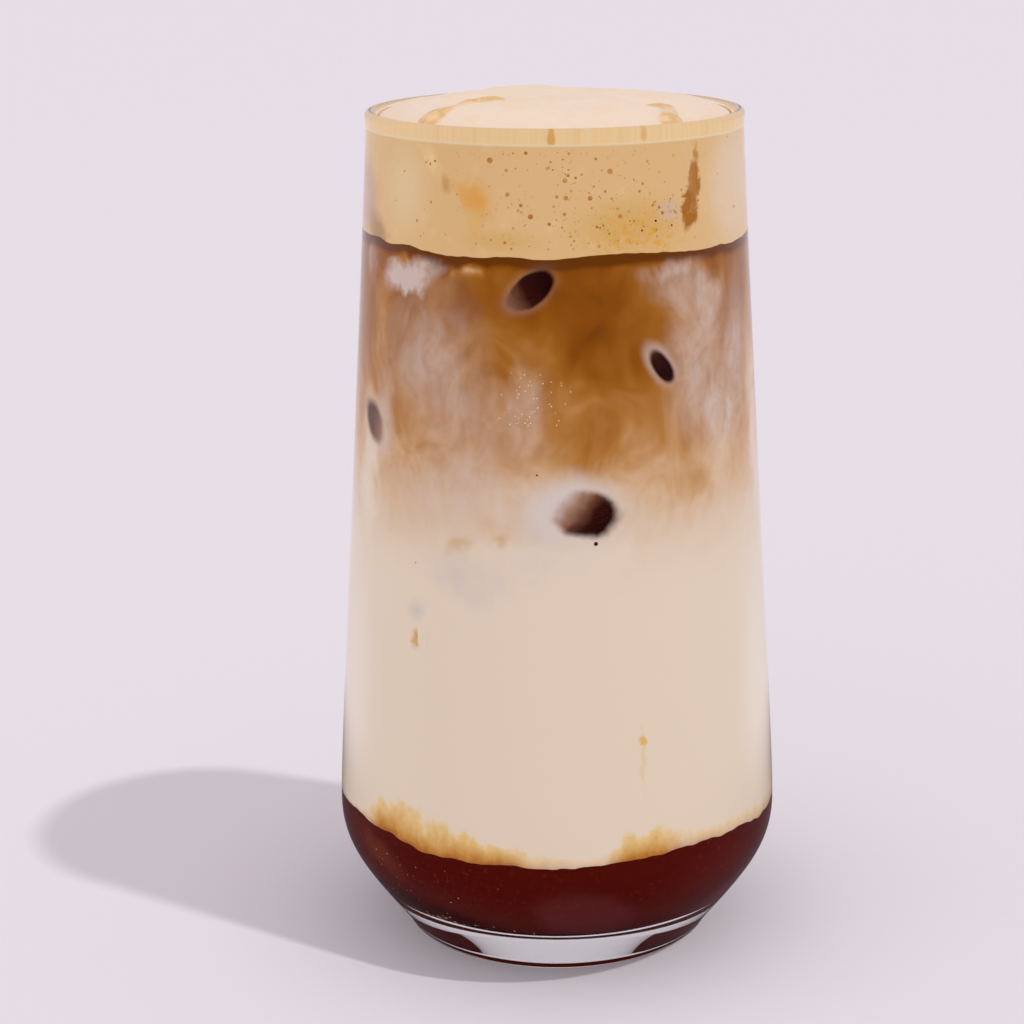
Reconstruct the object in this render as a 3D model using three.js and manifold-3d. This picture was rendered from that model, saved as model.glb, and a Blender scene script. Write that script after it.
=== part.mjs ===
// Iced latte in a tall tumbler with a heavy foot. From the bottom up the glass holds dark coffee,
// milk, coffee clouded with milk, and a domed cap of foam, with seven pieces of ice among them.
// Millimetres, +Z up. The origin is the middle of the foot, on the table, and -Y is the front.
import * as THREE from "three";
import { mergeVertices } from "three/addons/utils/BufferGeometryUtils.js";
import Module from "manifold-3d";

const wasm = await Module();
wasm.setup();

// Driving dimensions of the glass
const GLASS_HEIGHT = 150;
const WALL = 1.9; // thickness of the wall
const FOOT_RADIUS = 28.3; // outer edge of the flat ring that the glass stands on
const FOOT_RING_WIDTH = 2.4;
const FOOT_EDGE = 0.45; // the rounded edge of the foot runs this far past the flat ring...
const FOOT_CORNER = 1.26; // ...and this far up
const PUSH_UP = 0.3; // how far the underside is hollowed inside the foot ring
const BELLY_RADIUS = 40.3; // widest part
const BELLY_HEIGHT = 23.3; // height of the widest part
const SHOULDER_RADIUS = 32.83; // outer radius just under the rim
const SHOULDER_DROP = 3; // the shoulder lies this far below the top
const RIM_RADIUS = 32.02; // middle of the wall at the fire-polished rim
const FLOOR_HEIGHT = 8.2; // thick base: the middle of the floor inside the glass
const FLOOR_FLAT_RADIUS = 8; // the floor is flat out to here, then rises like a bowl to the wall

// Driving dimensions of the drink
const COFFEE_LEVEL = 25; // top of the dark coffee
const MILK_LEVEL = 77; // top of the milk, in the middle of its blend into the cloud
const FOAM_LEVEL = 129.3; // underside of the foam
const FOAM_CONTACT = 147.2; // where the foam leaves the glass, just under the rim
const FOAM_CROWN = 152.4; // top of the foam's dome
const DOME_ROLL = 5; // 2 is a round dome, and higher is flatter with a tighter edge
const DOME_LEAN = 0.03; // rise of the dome for each millimetre towards the front
const GAP = 0.3; // clearance between pieces that touch

// Fineness of the facets
const SIDES = 48; // facets round the axis
const SURFACE_RINGS = 3; // rings of facets on the surfaces between the layers
const DOME_RINGS = 7; // rings of facets on the foam's dome, closer together towards the glass
const ICE_GRID = 4; // facets along one edge of a piece of ice

const degrees = THREE.MathUtils.degToRad;
const mix = THREE.MathUtils.lerp;

// The outline of the outside, from the rounded edge of the foot up to the shoulder under the rim
function outsideOutline() {
  const flare = degrees(37.1); // lean of the wall where it leaves the foot
  const taper = degrees(3); // lean of the wall under the rim
  const flareReach = 14.3;
  const taperReach = 40.6;
  const foot = new THREE.Vector2(FOOT_RADIUS + FOOT_EDGE, FOOT_CORNER);
  const shoulder = new THREE.Vector2(SHOULDER_RADIUS, GLASS_HEIGHT - SHOULDER_DROP);
  const belly = new THREE.CubicBezierCurve(
    foot,
    new THREE.Vector2(foot.x + flareReach * Math.sin(flare), foot.y + flareReach * Math.cos(flare)),
    new THREE.Vector2(BELLY_RADIUS, BELLY_HEIGHT - 7.1),
    new THREE.Vector2(BELLY_RADIUS, BELLY_HEIGHT),
  );
  const side = new THREE.CubicBezierCurve(
    new THREE.Vector2(BELLY_RADIUS, BELLY_HEIGHT),
    new THREE.Vector2(BELLY_RADIUS, BELLY_HEIGHT + 9.1),
    new THREE.Vector2(
      shoulder.x + taperReach * Math.sin(taper),
      shoulder.y - taperReach * Math.cos(taper),
    ),
    shoulder,
  );
  return [...belly.getPoints(6), ...side.getPoints(7).slice(1)];
}

// The outline of the inside, from under the rim down to the edge of the flat floor
function insideOutline() {
  const side = outsideOutline()
    .filter((point) => point.y >= BELLY_HEIGHT - 0.01)
    .map((point) => new THREE.Vector2(point.x - WALL, point.y))
    .reverse();
  const corner = new THREE.CubicBezierCurve(
    new THREE.Vector2(BELLY_RADIUS - WALL, BELLY_HEIGHT),
    new THREE.Vector2(BELLY_RADIUS - WALL, mix(FLOOR_HEIGHT, BELLY_HEIGHT, 0.3)),
    new THREE.Vector2(mix(FLOOR_FLAT_RADIUS, BELLY_RADIUS - WALL, 0.76), FLOOR_HEIGHT),
    new THREE.Vector2(FLOOR_FLAT_RADIUS, FLOOR_HEIGHT),
  );
  return [...side, ...corner.getPoints(9).slice(1)];
}

// The rolled edge of the rim, from the outside over the top to the inside
function rimOutline() {
  const half = WALL / 2;
  const points = [];
  for (let step = 0; step <= 5; step += 1) {
    const angle = (Math.PI * step) / 5;
    const height = GLASS_HEIGHT - half + half * Math.sin(angle);
    points.push(new THREE.Vector2(RIM_RADIUS + half * Math.cos(angle), height));
  }
  return points;
}

const inside = insideOutline();

// Radius that the drink reaches at a height: the inside of the glass, less the clearance
function drinkRadius(height) {
  for (let i = 1; i < inside.length; i += 1) {
    const upper = inside[i - 1];
    const lower = inside[i];
    if (height >= lower.y) {
      const share = THREE.MathUtils.clamp((height - lower.y) / (upper.y - lower.y), 0, 1);
      return mix(lower.x, upper.x, share) - GAP;
    }
  }
  return FLOOR_FLAT_RADIUS - GAP;
}

// A three.js geometry as a closed solid that can be joined and cut
function solid(geometry) {
  const bare = geometry.index ? geometry.clone() : mergeVertices(geometry);
  bare.deleteAttribute("normal");
  bare.deleteAttribute("uv");
  const merged = mergeVertices(bare, 1e-4);
  const corners = Array.from(merged.index.array);
  const kept = [];
  for (let i = 0; i < corners.length; i += 3) {
    const [a, b, c] = corners.slice(i, i + 3);
    if (a !== b && b !== c && c !== a) {
      kept.push(a, b, c);
    }
  }
  const mesh = new wasm.Mesh({
    numProp: 3,
    vertProperties: new Float32Array(merged.attributes.position.array),
    triVerts: new Uint32Array(kept),
  });
  return new wasm.Manifold(mesh);
}

// The largest single body of a solid, so that a cut leaves no crumbs
function largestBody(whole) {
  const bodies = whole.decompose();
  bodies.sort((a, b) => b.volume() - a.volume());
  return bodies[0];
}

// A cut solid as a named mesh with its own material
function namedMesh(name, body, material) {
  const { vertProperties, triVerts } = body.getMesh();
  const geometry = new THREE.BufferGeometry();
  geometry.setAttribute("position", new THREE.BufferAttribute(new Float32Array(vertProperties), 3));
  geometry.setIndex(new THREE.BufferAttribute(new Uint32Array(triVerts), 1));
  geometry.computeVertexNormals();
  const mesh = new THREE.Mesh(geometry, material);
  mesh.name = name;
  return mesh;
}

// A body of revolution about +Z from an outline that starts and ends on the axis
function turned(outline) {
  return new THREE.LatheGeometry(outline, SIDES).rotateX(Math.PI / 2);
}

// The glass: a hollowed underside, a flat ring to stand on, the wall, the rim and a thick floor
function glassBody() {
  const ringInner = FOOT_RADIUS - FOOT_RING_WIDTH;
  const hollow = new THREE.CubicBezierCurve(
    new THREE.Vector2(0, PUSH_UP),
    new THREE.Vector2(ringInner * 0.6, PUSH_UP),
    new THREE.Vector2(ringInner * 0.8, PUSH_UP * 0.6),
    new THREE.Vector2(ringInner, 0),
  );
  const edge = new THREE.QuadraticBezierCurve(
    new THREE.Vector2(FOOT_RADIUS - FOOT_EDGE, 0),
    new THREE.Vector2(FOOT_RADIUS, 0),
    new THREE.Vector2(FOOT_RADIUS + FOOT_EDGE, FOOT_CORNER),
  );
  const underside = [...hollow.getPoints(4), ...edge.getPoints(2).slice(0, -1)];
  const floor = [new THREE.Vector2(0, FLOOR_HEIGHT)];
  return solid(turned([...underside, ...outsideOutline(), ...rimOutline(), ...inside, ...floor]));
}

// All the space that the drink and its ice may take, open upwards past the rim
function drinkSpace() {
  const top = 1.2 * GLASS_HEIGHT;
  const wall = inside.map((point) => new THREE.Vector2(point.x - GAP, point.y + GAP)).reverse();
  const outline = [
    new THREE.Vector2(0, FLOOR_HEIGHT + GAP),
    ...wall,
    new THREE.Vector2(wall.at(-1).x, top),
    new THREE.Vector2(0, top),
  ];
  return solid(turned(outline));
}

// A gentle swell in a surface: its height, its length from crest to crest and its bearing
function swell(x, y, rise, length, bearing) {
  const along = x * Math.cos(bearing) + y * Math.sin(bearing);
  return rise * Math.sin((2 * Math.PI * along) / length + bearing);
}

// Height of the slightly uneven surface between the coffee and the milk
function coffeeTop(x, y) {
  return COFFEE_LEVEL + swell(x, y, 0.5, 57, 0.4) + swell(x, y, 0.4, 45, 1.9);
}

// Height of the milk, which rises and falls more where it blends into the cloud
function milkTop(x, y) {
  return MILK_LEVEL + swell(x, y, 1.6, 62, 0.2) + swell(x, y, 1.2, 47, 1.2);
}

// Height of the underside of the foam
function foamUnderside(x, y) {
  return FOAM_LEVEL + swell(x, y, 0.35, 37, 0.1) + swell(x, y, 0.3, 42, 1.6);
}

// Height of the foam's dome: nearly flat, rolled down to the glass, and a little higher in front
function foamTop(x, y) {
  const share = Math.min(1, Math.hypot(x, y) / drinkRadius(FOAM_CONTACT));
  const roll = 1 - share ** DOME_ROLL;
  const crown = FOAM_CROWN - DOME_LEAN * y + swell(x, y, 0.25, 27, 0.6);
  return FOAM_CONTACT + roll * (crown - FOAM_CONTACT);
}

// A layer of the drink from wall to wall. It starts as a unit cylinder whose vertices are then
// moved to the inside of the glass and to the two surfaces that bound the layer. A crowding above 1
// brings the rows closer together low down, and one below 1 brings the rings closer to the glass.
function layer({ lower, upper, rows, crowding = 1, topRings = SURFACE_RINGS, topCrowding = 1 }) {
  const outline = [];
  for (let i = 0; i <= SURFACE_RINGS; i += 1) {
    outline.push(new THREE.Vector2(i / SURFACE_RINGS, 0));
  }
  for (let i = 1; i <= rows; i += 1) {
    outline.push(new THREE.Vector2(1, (i / rows) ** crowding));
  }
  for (let i = topRings - 1; i >= 0; i -= 1) {
    outline.push(new THREE.Vector2((i / topRings) ** topCrowding, 1));
  }
  const geometry = turned(outline);
  const position = geometry.attributes.position;
  for (let i = 0; i < position.count; i += 1) {
    const unit = new THREE.Vector2(position.getX(i), position.getY(i));
    const share = position.getZ(i);
    const reach = drinkRadius(mix(lower(0, 0), upper(0, 0), share));
    const low = lower(unit.x * reach, unit.y * reach);
    const high = upper(unit.x * reach, unit.y * reach);
    const height = mix(low, high, share);
    const radius = drinkRadius(height);
    position.setXYZ(i, unit.x * radius, unit.y * radius, height);
  }
  return solid(geometry);
}

// Ice: a rounded block that has begun to melt. It is placed by where it comes nearest to the
// glass (degrees round from the front, height) and by how far its centre lies inside the wall.
// It tumbles by turn[0] and turn[1]; a last turn of 45 sets one of its upright edges to the wall.
const ICE = [
  { name: "ice_top_left", angle: -44, height: 141.7, inset: 11.2, size: [19, 18, 18], turn: [42, -8, 72] },
  { name: "ice_top_right", angle: 44.5, height: 140.4, inset: 9.7, size: [17, 17, 21], turn: [-8, -6, 44] },
  { name: "ice_front_high", angle: -6.5, height: 124, inset: 9.1, size: [16, 15, 16], turn: [48, 8, 30] },
  { name: "ice_front_right", angle: 31, height: 111, inset: 9, size: [15, 15, 16], turn: [8, 24, 42] },
  { name: "ice_left", angle: -60.5, height: 99, inset: 9.9, size: [17, 17, 18], turn: [-8, 20, 46] },
  { name: "ice_front_middle", angle: 9, height: 86, inset: 9.2, size: [18, 17, 17], turn: [42, 14, 24] },
  { name: "ice_front_low", angle: -38.8, height: 66.5, inset: 10.1, size: [17, 17, 19], turn: [-13, 3, 45] },
];
const ICE_SQUARENESS = 4.5; // 2 is an egg, and higher is squarer
const ICE_WOBBLE = 0.035; // how far melting has made a face uneven, as a share of the size

// One piece of ice, enlarged by a clearance on every side where it is to cut its own hollow
function icePiece({ angle, height, inset, size, turn }, clearance) {
  const geometry = new THREE.BoxGeometry(2, 2, 2, ICE_GRID, ICE_GRID, ICE_GRID);
  const position = geometry.attributes.position;
  const half = new THREE.Vector3(...size).multiplyScalar(0.5).addScalar(1.5 * clearance);
  const point = new THREE.Vector3();
  for (let i = 0; i < position.count; i += 1) {
    point.fromBufferAttribute(position, i);
    const power = point.toArray().reduce((sum, part) => sum + Math.abs(part) ** ICE_SQUARENESS, 0);
    const ripple = Math.sin(3 * point.x + angle) * Math.cos(2.6 * point.y - height);
    const melt = ICE_WOBBLE * ripple * Math.sin(2.2 * point.z + inset);
    point.multiplyScalar((1 + melt) / power ** (1 / ICE_SQUARENESS));
    point.multiply(half);
    position.setXYZ(i, point.x, point.y, point.z);
  }
  const reach = drinkRadius(height) - inset;
  geometry.rotateX(degrees(turn[0]));
  geometry.rotateY(degrees(turn[1]));
  geometry.rotateZ(degrees(turn[2] + angle));
  geometry.translate(reach * Math.sin(degrees(angle)), -reach * Math.cos(degrees(angle)), height);
  return solid(geometry);
}

// Colours and finishes
function finish(color, roughness, opacity = 1) {
  return new THREE.MeshStandardMaterial({ color, roughness, opacity, transparent: opacity < 1 });
}
const clearGlass = finish(0xeef3f2, 0.02, 0.3);
const darkCoffee = finish(0x470d08, 0.15);
const milkWhite = finish(0xddc8b6, 0.3);
const coffeeCloud = finish(0xb2805c, 0.3);
const foamCream = finish(0xe6c8a0, 0.7);
const iceClear = finish(0x9c7a6a, 0.08, 0.6);

const latte = new THREE.Group();
latte.add(namedMesh("glass", glassBody(), clearGlass));

const space = drinkSpace();
const hollows = ICE.map((piece) => icePiece(piece, GAP));
const raise = (surface) => (x, y) => surface(x, y) + GAP;
const floorOfGlass = () => FLOOR_HEIGHT + GAP;
function addLayer(name, material, shape) {
  const cut = hollows.reduce((left, hollow) => left.subtract(hollow), layer(shape));
  latte.add(namedMesh(name, largestBody(cut), material));
}
addLayer("dark_coffee", darkCoffee, { lower: floorOfGlass, upper: coffeeTop, rows: 7, crowding: 1.7 });
addLayer("milk", milkWhite, { lower: raise(coffeeTop), upper: milkTop, rows: 5 });
addLayer("coffee_cloud", coffeeCloud, { lower: raise(milkTop), upper: foamUnderside, rows: 4 });
const dome = { rows: 2, topRings: DOME_RINGS, topCrowding: 0.55 };
addLayer("foam", foamCream, { lower: raise(foamUnderside), upper: foamTop, ...dome });
for (const piece of ICE) {
  const body = icePiece(piece, 0).intersect(space);
  latte.add(namedMesh(piece.name, largestBody(body), iceClear));
}

export default latte;
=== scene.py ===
# %% [markdown]
# # An iced latte in a tumbler
#
# A heavy-footed glass tumbler holds, from the bottom up, dark coffee, milk, coffee clouded with milk
# and a cap of foam, with pieces of ice that show where they touch the glass. The frame already holds
# every piece at its real size and place. This lesson dresses them: each step says what the real thing
# is, how it could be made, and why one way was taken.

# %% Load the frame
import math
import random

import bmesh
import bpy
import numpy as np
from mathutils import Euler, Matrix, Vector, noise
from mathutils.geometry import interpolate_bezier


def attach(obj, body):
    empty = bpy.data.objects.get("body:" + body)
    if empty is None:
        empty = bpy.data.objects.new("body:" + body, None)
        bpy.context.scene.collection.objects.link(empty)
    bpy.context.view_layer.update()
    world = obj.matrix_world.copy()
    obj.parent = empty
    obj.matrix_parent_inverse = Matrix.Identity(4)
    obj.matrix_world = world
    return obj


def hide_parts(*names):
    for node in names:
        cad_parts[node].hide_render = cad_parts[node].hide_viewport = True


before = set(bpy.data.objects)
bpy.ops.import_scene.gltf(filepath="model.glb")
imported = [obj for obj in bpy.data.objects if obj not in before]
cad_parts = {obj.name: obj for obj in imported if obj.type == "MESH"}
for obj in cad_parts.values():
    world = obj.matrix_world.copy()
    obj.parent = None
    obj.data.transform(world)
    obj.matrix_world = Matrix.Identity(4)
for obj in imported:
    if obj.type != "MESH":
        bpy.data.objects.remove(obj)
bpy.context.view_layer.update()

MM = 0.001
print("solids loaded:", len(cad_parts))

# %% [markdown]
# ## Camera
# The photograph was taken from about 40 cm away, a little above the rim, with a long lens. A camera can
# be placed by eye, but here its distance, height and tilt were worked out from the ellipses of the rim
# and the foot, so that the glass has the same outline. It is turned slightly instead of shifted, so
# that it keeps its framing from every side.

# %% Camera
CAMERA_DISTANCE = 411.3 * MM
CAMERA_HEIGHT = 193.3 * MM
CAMERA_TILT = math.radians(15.77)
CAMERA_TURN = math.radians(1.108)
CAMERA_ROLL = math.radians(0.499)
LENS_MM = 82.64


def add_camera():
    lens = bpy.data.cameras.new("camera")
    lens.lens = LENS_MM
    lens.sensor_width = 36
    camera = bpy.data.objects.new("camera", lens)
    bpy.context.collection.objects.link(camera)
    look = Matrix.Rotation(CAMERA_TURN, 4, "Z") @ Matrix.Rotation(math.pi / 2 - CAMERA_TILT, 4, "X")
    roll = Matrix.Rotation(-CAMERA_ROLL, 4, "Z")
    camera.matrix_world = Matrix.Translation((0, -CAMERA_DISTANCE, CAMERA_HEIGHT)) @ look @ roll
    bpy.context.scene.camera = camera
    return camera


print("camera at", [round(value, 3) for value in add_camera().location])

# %% [markdown]
# ## Colours
# Colours are written as they look in the photograph, from 0 to 255. A render multiplies a surface's own
# colour by the light that falls on it, so each value is first made linear and then divided by the light
# of this set. Without that step, every colour would come out a little darker than it was read.

# %% Colours
SET_LIGHT = (0.81, 0.755, 0.81)  # what a white surface facing the camera looks like in this set


def linear(value):
    share = value / 255
    return share / 12.92 if share <= 0.04045 else ((share + 0.055) / 1.055) ** 2.4


def seen(red, green, blue):
    """A surface colour that looks like this in the light of the set."""
    parts = [min(0.97, linear(value) / light) for value, light in zip((red, green, blue), SET_LIGHT)]
    return (*parts, 1)


print("milk as a surface colour:", [round(part, 3) for part in seen(221, 200, 182)])

# %% [markdown]
# ## Light
# The set is bright and even, as in a light tent, with one harder lamp high up on the right. A uniform
# pale world gives the even part. The lamp is a sun that is two degrees wide: it draws the one soft
# shadow to the left, and its direction was read from that shadow. An area lamp would do as well, but its
# light falls off with the distance. A white board on the left fills in the side that the lamp misses.

# %% Light
WORLD_COLOUR = (0.80, 0.745, 0.80, 1)
WORLD_STRENGTH = 0.78
LAMP_FROM = Vector((0.505, -0.245, 1))
LAMP_STRENGTH = 0.82
LAMP_WIDTH = math.radians(2)
BOARD_FROM = Vector((-0.9, -0.45, 0.35))
BOARD_STRENGTH = 0.5
BOARD_WIDTH = math.radians(100)


def add_sun(name, strength, width, direction):
    light = bpy.data.lights.new(name, "SUN")
    light.energy = strength
    light.angle = width
    light_object = bpy.data.objects.new(name, light)
    light_object.rotation_euler = direction.to_track_quat("Z", "Y").to_euler()
    bpy.context.collection.objects.link(light_object)


def add_light():
    world = bpy.data.worlds.new("tent")
    world.use_nodes = True
    background = world.node_tree.nodes["Background"]
    background.inputs["Color"].default_value = WORLD_COLOUR
    background.inputs["Strength"].default_value = WORLD_STRENGTH
    bpy.context.scene.world = world
    add_sun("lamp", LAMP_STRENGTH, LAMP_WIDTH, LAMP_FROM)
    add_sun("white board", BOARD_STRENGTH, BOARD_WIDTH, BOARD_FROM)
    bpy.context.scene.view_settings.view_transform = "Standard"


add_light()
print("lamp comes from", [round(part, 2) for part in LAMP_FROM.normalized()])

# %% [markdown]
# ## A short way to write materials
# Every material here is a network of nodes. Written out one call at a time it would be hard to read, so
# a small helper adds a node, sets it and links it in one line. `math`, `blend` and `fade` are the three
# steps that come back all the time: arithmetic, mixing two colours, and a smooth step between two values.

# %% Node helper


class Graph:
    """Adds and links nodes in one node tree."""

    def __init__(self, tree):
        self.tree = tree

    def add(self, kind, inputs=None, **settings):
        made = self.tree.nodes.new(kind)
        for key, value in settings.items():
            setattr(made, key, value)
        for key, value in (inputs or {}).items():
            self.feed(made.inputs[key], value)
        return made

    def feed(self, socket, value):
        if isinstance(value, bpy.types.NodeSocket):
            self.tree.links.new(value, socket)
        else:
            socket.default_value = value

    def math(self, operation, first, second=0.0, third=0.0):
        inputs = {0: first, 1: second, 2: third}
        return self.add("ShaderNodeMath", inputs, operation=operation).outputs[0]

    def fade(self, value, start, end, low=0.0, high=1.0):
        inputs = {"Value": value, "From Min": start, "From Max": end, "To Min": low, "To Max": high}
        return self.add("ShaderNodeMapRange", inputs, interpolation_type="SMOOTHSTEP").outputs["Result"]

    def blend(self, share, first, second):
        inputs = {0: share, 6: first, 7: second}
        return self.add("ShaderNodeMix", inputs, data_type="RGBA").outputs[2]

    def around(self, value, middle, reach):
        """1 at a value, falling off softly to 0 at a distance on either side."""
        return self.fade(self.math("ABSOLUTE", self.math("SUBTRACT", value, middle)), reach, 0.0)

    def noise(self, vector, scale, detail=3.0, roughness=0.55, distortion=0.0):
        inputs = {"Vector": vector, "Scale": scale, "Detail": detail, "Roughness": roughness}
        inputs["Distortion"] = distortion
        return self.add("ShaderNodeTexNoise", inputs).outputs["Fac"]

    def stretch(self, vector, factors):
        inputs = {0: vector, 1: factors}
        return self.add("ShaderNodeVectorMath", inputs, operation="MULTIPLY").outputs[0]

    def ramp(self, value, stops):
        made = self.add("ShaderNodeValToRGB", {"Fac": value})
        elements = made.color_ramp.elements
        elements[0].position, elements[0].color = stops[0]
        elements[-1].position, elements[-1].color = stops[-1]
        for position, colour in stops[1:-1]:
            elements.new(position).color = colour
        return made.outputs["Color"]

    def group(self, tree, **inputs):
        made = self.add("ShaderNodeGroup", node_tree=tree)
        for key, value in inputs.items():
            self.feed(made.inputs[key.replace("_", " ")], value)
        return made.outputs


print("steps:", ", ".join(name for name in vars(Graph) if not name.startswith("_")))

# %% [markdown]
# An effect that several materials share is built once, as a group with named inputs and outputs, and each
# material sets it for itself. The nodes could also be repeated in every material, but then a change would
# have to be made in every copy. Shaders stay outside the groups, in the material.

# %% Groups and materials


def new_group(name, inputs, outputs):
    """A node group with named float inputs (name: default) and outputs (name: socket type)."""
    tree = bpy.data.node_groups.new(name, "ShaderNodeTree")
    for socket, value in inputs.items():
        made = tree.interface.new_socket(name=socket, in_out="INPUT", socket_type="NodeSocketFloat")
        made.default_value = value
    for socket, kind in outputs.items():
        tree.interface.new_socket(name=socket, in_out="OUTPUT", socket_type="NodeSocket" + kind)
    graph = Graph(tree)
    return graph, graph.add("NodeGroupInput").outputs, graph.add("NodeGroupOutput").inputs


def new_material(name, viewport):
    material = bpy.data.materials.new(name)
    material.use_nodes = True
    material.diffuse_color = viewport
    tree = material.node_tree
    tree.nodes.clear()
    graph = Graph(tree)
    surface = graph.add("ShaderNodeOutputMaterial").inputs["Surface"]
    shader = graph.add("ShaderNodeBsdfPrincipled")
    graph.feed(surface, shader.outputs[0])
    return material, graph, shader.inputs, surface


print("node groups so far:", len(bpy.data.node_groups))

# %% [markdown]
# ## Where a point lies on the glass
# The drink is seen through a round wall, so a place on it is best told as on a map: how many degrees
# round from the front, and how many millimetres up. This group works both out from the object's own
# coordinates. They don't depend on the camera, so the pattern stays on the drink from every side.

# %% Place on the wall
MM_PER_DEGREE = 0.56  # along the wall, at the middle of the glass


def build_place():
    outputs = {"Angle": "Float", "Height": "Float", "Point": "Vector"}
    graph, _, out = new_group("place on the wall", {}, outputs)
    metres = graph.add("ShaderNodeTexCoord").outputs["Object"]
    point = graph.stretch(metres, (1 / MM, 1 / MM, 1 / MM))
    parts = graph.add("ShaderNodeSeparateXYZ", {0: point}).outputs
    front = graph.math("MULTIPLY", parts["Y"], -1.0)
    turn = graph.math("ARCTAN2", parts["X"], front)
    graph.feed(out["Angle"], graph.math("DEGREES", turn))
    graph.feed(out["Height"], parts["Z"])
    graph.feed(out["Point"], point)
    return graph.tree


PLACE = build_place()
print("place group:", len(PLACE.nodes), "nodes")

# %% [markdown]
# ## An oval
# Clouds, stains and the dark windows of the ice are all ovals with a soft edge. Each could be painted on
# an image, but one group that measures how far a point lies from an oval does for all of them. It takes
# a place, a length and a width in millimetres, and a turn.

# %% Oval
OVAL_INPUTS = {"Angle": 0, "Height": 0, "At angle": 0, "At height": 0, "Long": 5, "Wide": 3, "Turn": 0}


def build_oval():
    outputs = {"Distance": "Float", "Across": "Float", "Up": "Float"}
    graph, given, out = new_group("oval", OVAL_INPUTS, outputs)
    turned = graph.math("SUBTRACT", given["Angle"], given["At angle"])
    degrees_off = graph.math("WRAP", turned, 180.0, -180.0)
    across = graph.math("MULTIPLY", degrees_off, MM_PER_DEGREE)
    up = graph.math("SUBTRACT", given["Height"], given["At height"])
    turn = graph.math("RADIANS", given["Turn"])
    cosine = graph.math("COSINE", turn)
    sine = graph.math("SINE", turn)
    along = graph.math("ADD", graph.math("MULTIPLY", across, cosine), graph.math("MULTIPLY", up, sine))
    aside = graph.math("SUBTRACT", graph.math("MULTIPLY", up, cosine), graph.math("MULTIPLY", across, sine))
    far_along = graph.math("DIVIDE", along, given["Long"])
    far_aside = graph.math("DIVIDE", aside, given["Wide"])
    squares = graph.math("ADD", graph.math("MULTIPLY", far_along, far_along),
                         graph.math("MULTIPLY", far_aside, far_aside))
    graph.feed(out["Distance"], graph.math("SQRT", squares))
    graph.feed(out["Across"], across)
    graph.feed(out["Up"], up)
    return graph.tree


OVAL = build_oval()
print("oval group:", len(OVAL.nodes), "nodes")

# %% [markdown]
# ## A soft spot
# A soft spot is the oval as a mask: 1 inside, 0 outside, and a smooth step between. Lists of spots can be
# added to a number or laid over a colour, so that each cloud or stain of the drink is one line of values.
# Painting them by hand would be freer, but a line of values is easy to move when it doesn't match.

# %% Soft spot


def build_spot():
    inputs = {**OVAL_INPUTS, "Soft": 0.5}
    graph, given, out = new_group("soft spot", inputs, {"Mask": "Float"})
    oval = graph.group(OVAL, **{key.replace(" ", "_"): given[key] for key in OVAL_INPUTS})
    inner = graph.math("SUBTRACT", 1.0, given["Soft"])
    graph.feed(out["Mask"], graph.math("SUBTRACT", 1.0, graph.fade(oval["Distance"], inner, 1.0)))
    return graph.tree


SPOT = build_spot()


def spot(graph, angle, height, at, size, turn=0.0, soft=0.6):
    """The mask of a spot at (degrees, mm) with a size of (half length, half width) in mm."""
    made = graph.group(SPOT, Angle=angle, Height=height, At_angle=at[0], At_height=at[1], Long=size[0],
                       Wide=size[1], Turn=turn, Soft=soft)
    return made["Mask"]


def add_spots(graph, amount, angle, height, spots):
    """Adds (value, place, size, turn, softness) spots to a number."""
    for value, at, size, turn, soft in spots:
        amount = graph.math("MULTIPLY_ADD", spot(graph, angle, height, at, size, turn, soft), value, amount)
    return amount


def lay_spots(graph, colour, angle, height, spots):
    """Lays (colour, strength, place, size, turn, softness) spots over a colour."""
    for tint, strength, at, size, turn, soft in spots:
        mask = spot(graph, angle, height, at, size, turn, soft)
        colour = graph.blend(graph.math("MULTIPLY", mask, strength), colour, tint)
    return colour


print("spot group:", len(SPOT.nodes), "nodes")

# %% [markdown]
# ## Swirls
# Milk that sinks through coffee doesn't keep smooth edges: it folds and drags. Adding noise to a colour
# only makes it blotchy. Adding noise to the *coordinates* that the spots are drawn with bends their
# edges instead, as the liquid does. The noise is longer upwards than sideways, because the milk falls.

# %% Swirls


def build_swirl():
    inputs = {"Angle": 0, "Height": 0, "Sideways": 8, "Upwards": 4, "Scale": 0.08}
    graph, given, out = new_group("swirl", inputs, {"Angle": "Float", "Height": "Float"})
    place = graph.group(PLACE)
    point = graph.stretch(place["Point"], (1, 1, 0.8))
    inputs = {"Vector": point, "Scale": given["Scale"], "Detail": 4, "Roughness": 0.55, "Distortion": 1.4}
    folds = graph.add("ShaderNodeTexNoise", inputs).outputs["Color"]
    parts = graph.add("ShaderNodeSeparateColor", {0: folds}).outputs
    for name, amount, part in (("Angle", "Sideways", 0), ("Height", "Upwards", 1)):
        offset = graph.math("MULTIPLY", graph.math("SUBTRACT", parts[part], 0.5), given[amount])
        graph.feed(out[name], graph.math("MULTIPLY_ADD", offset, 2.0, given[name]))
    return graph.tree


SWIRL = build_swirl()


def swirled(graph, place, sideways, upwards, scale):
    """A place on the wall after a swirl has moved it by some degrees sideways and mm upwards."""
    return graph.group(SWIRL, Angle=place["Angle"], Height=place["Height"], Sideways=sideways,
                       Upwards=upwards, Scale=scale)


print("swirl group:", len(SWIRL.nodes), "nodes")

# %% [markdown]
# ## The glass
# The glass is a body of revolution. A modifier could spin its outline, but the outline itself matters
# most: two curves that meet at the widest part, a rolled rim, and a thick floor that rises like a bowl
# into the wall. The same named sizes as in the solids give it here, with many more points, because a
# clear glass shows every facet. All of them are in millimetres.

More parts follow.
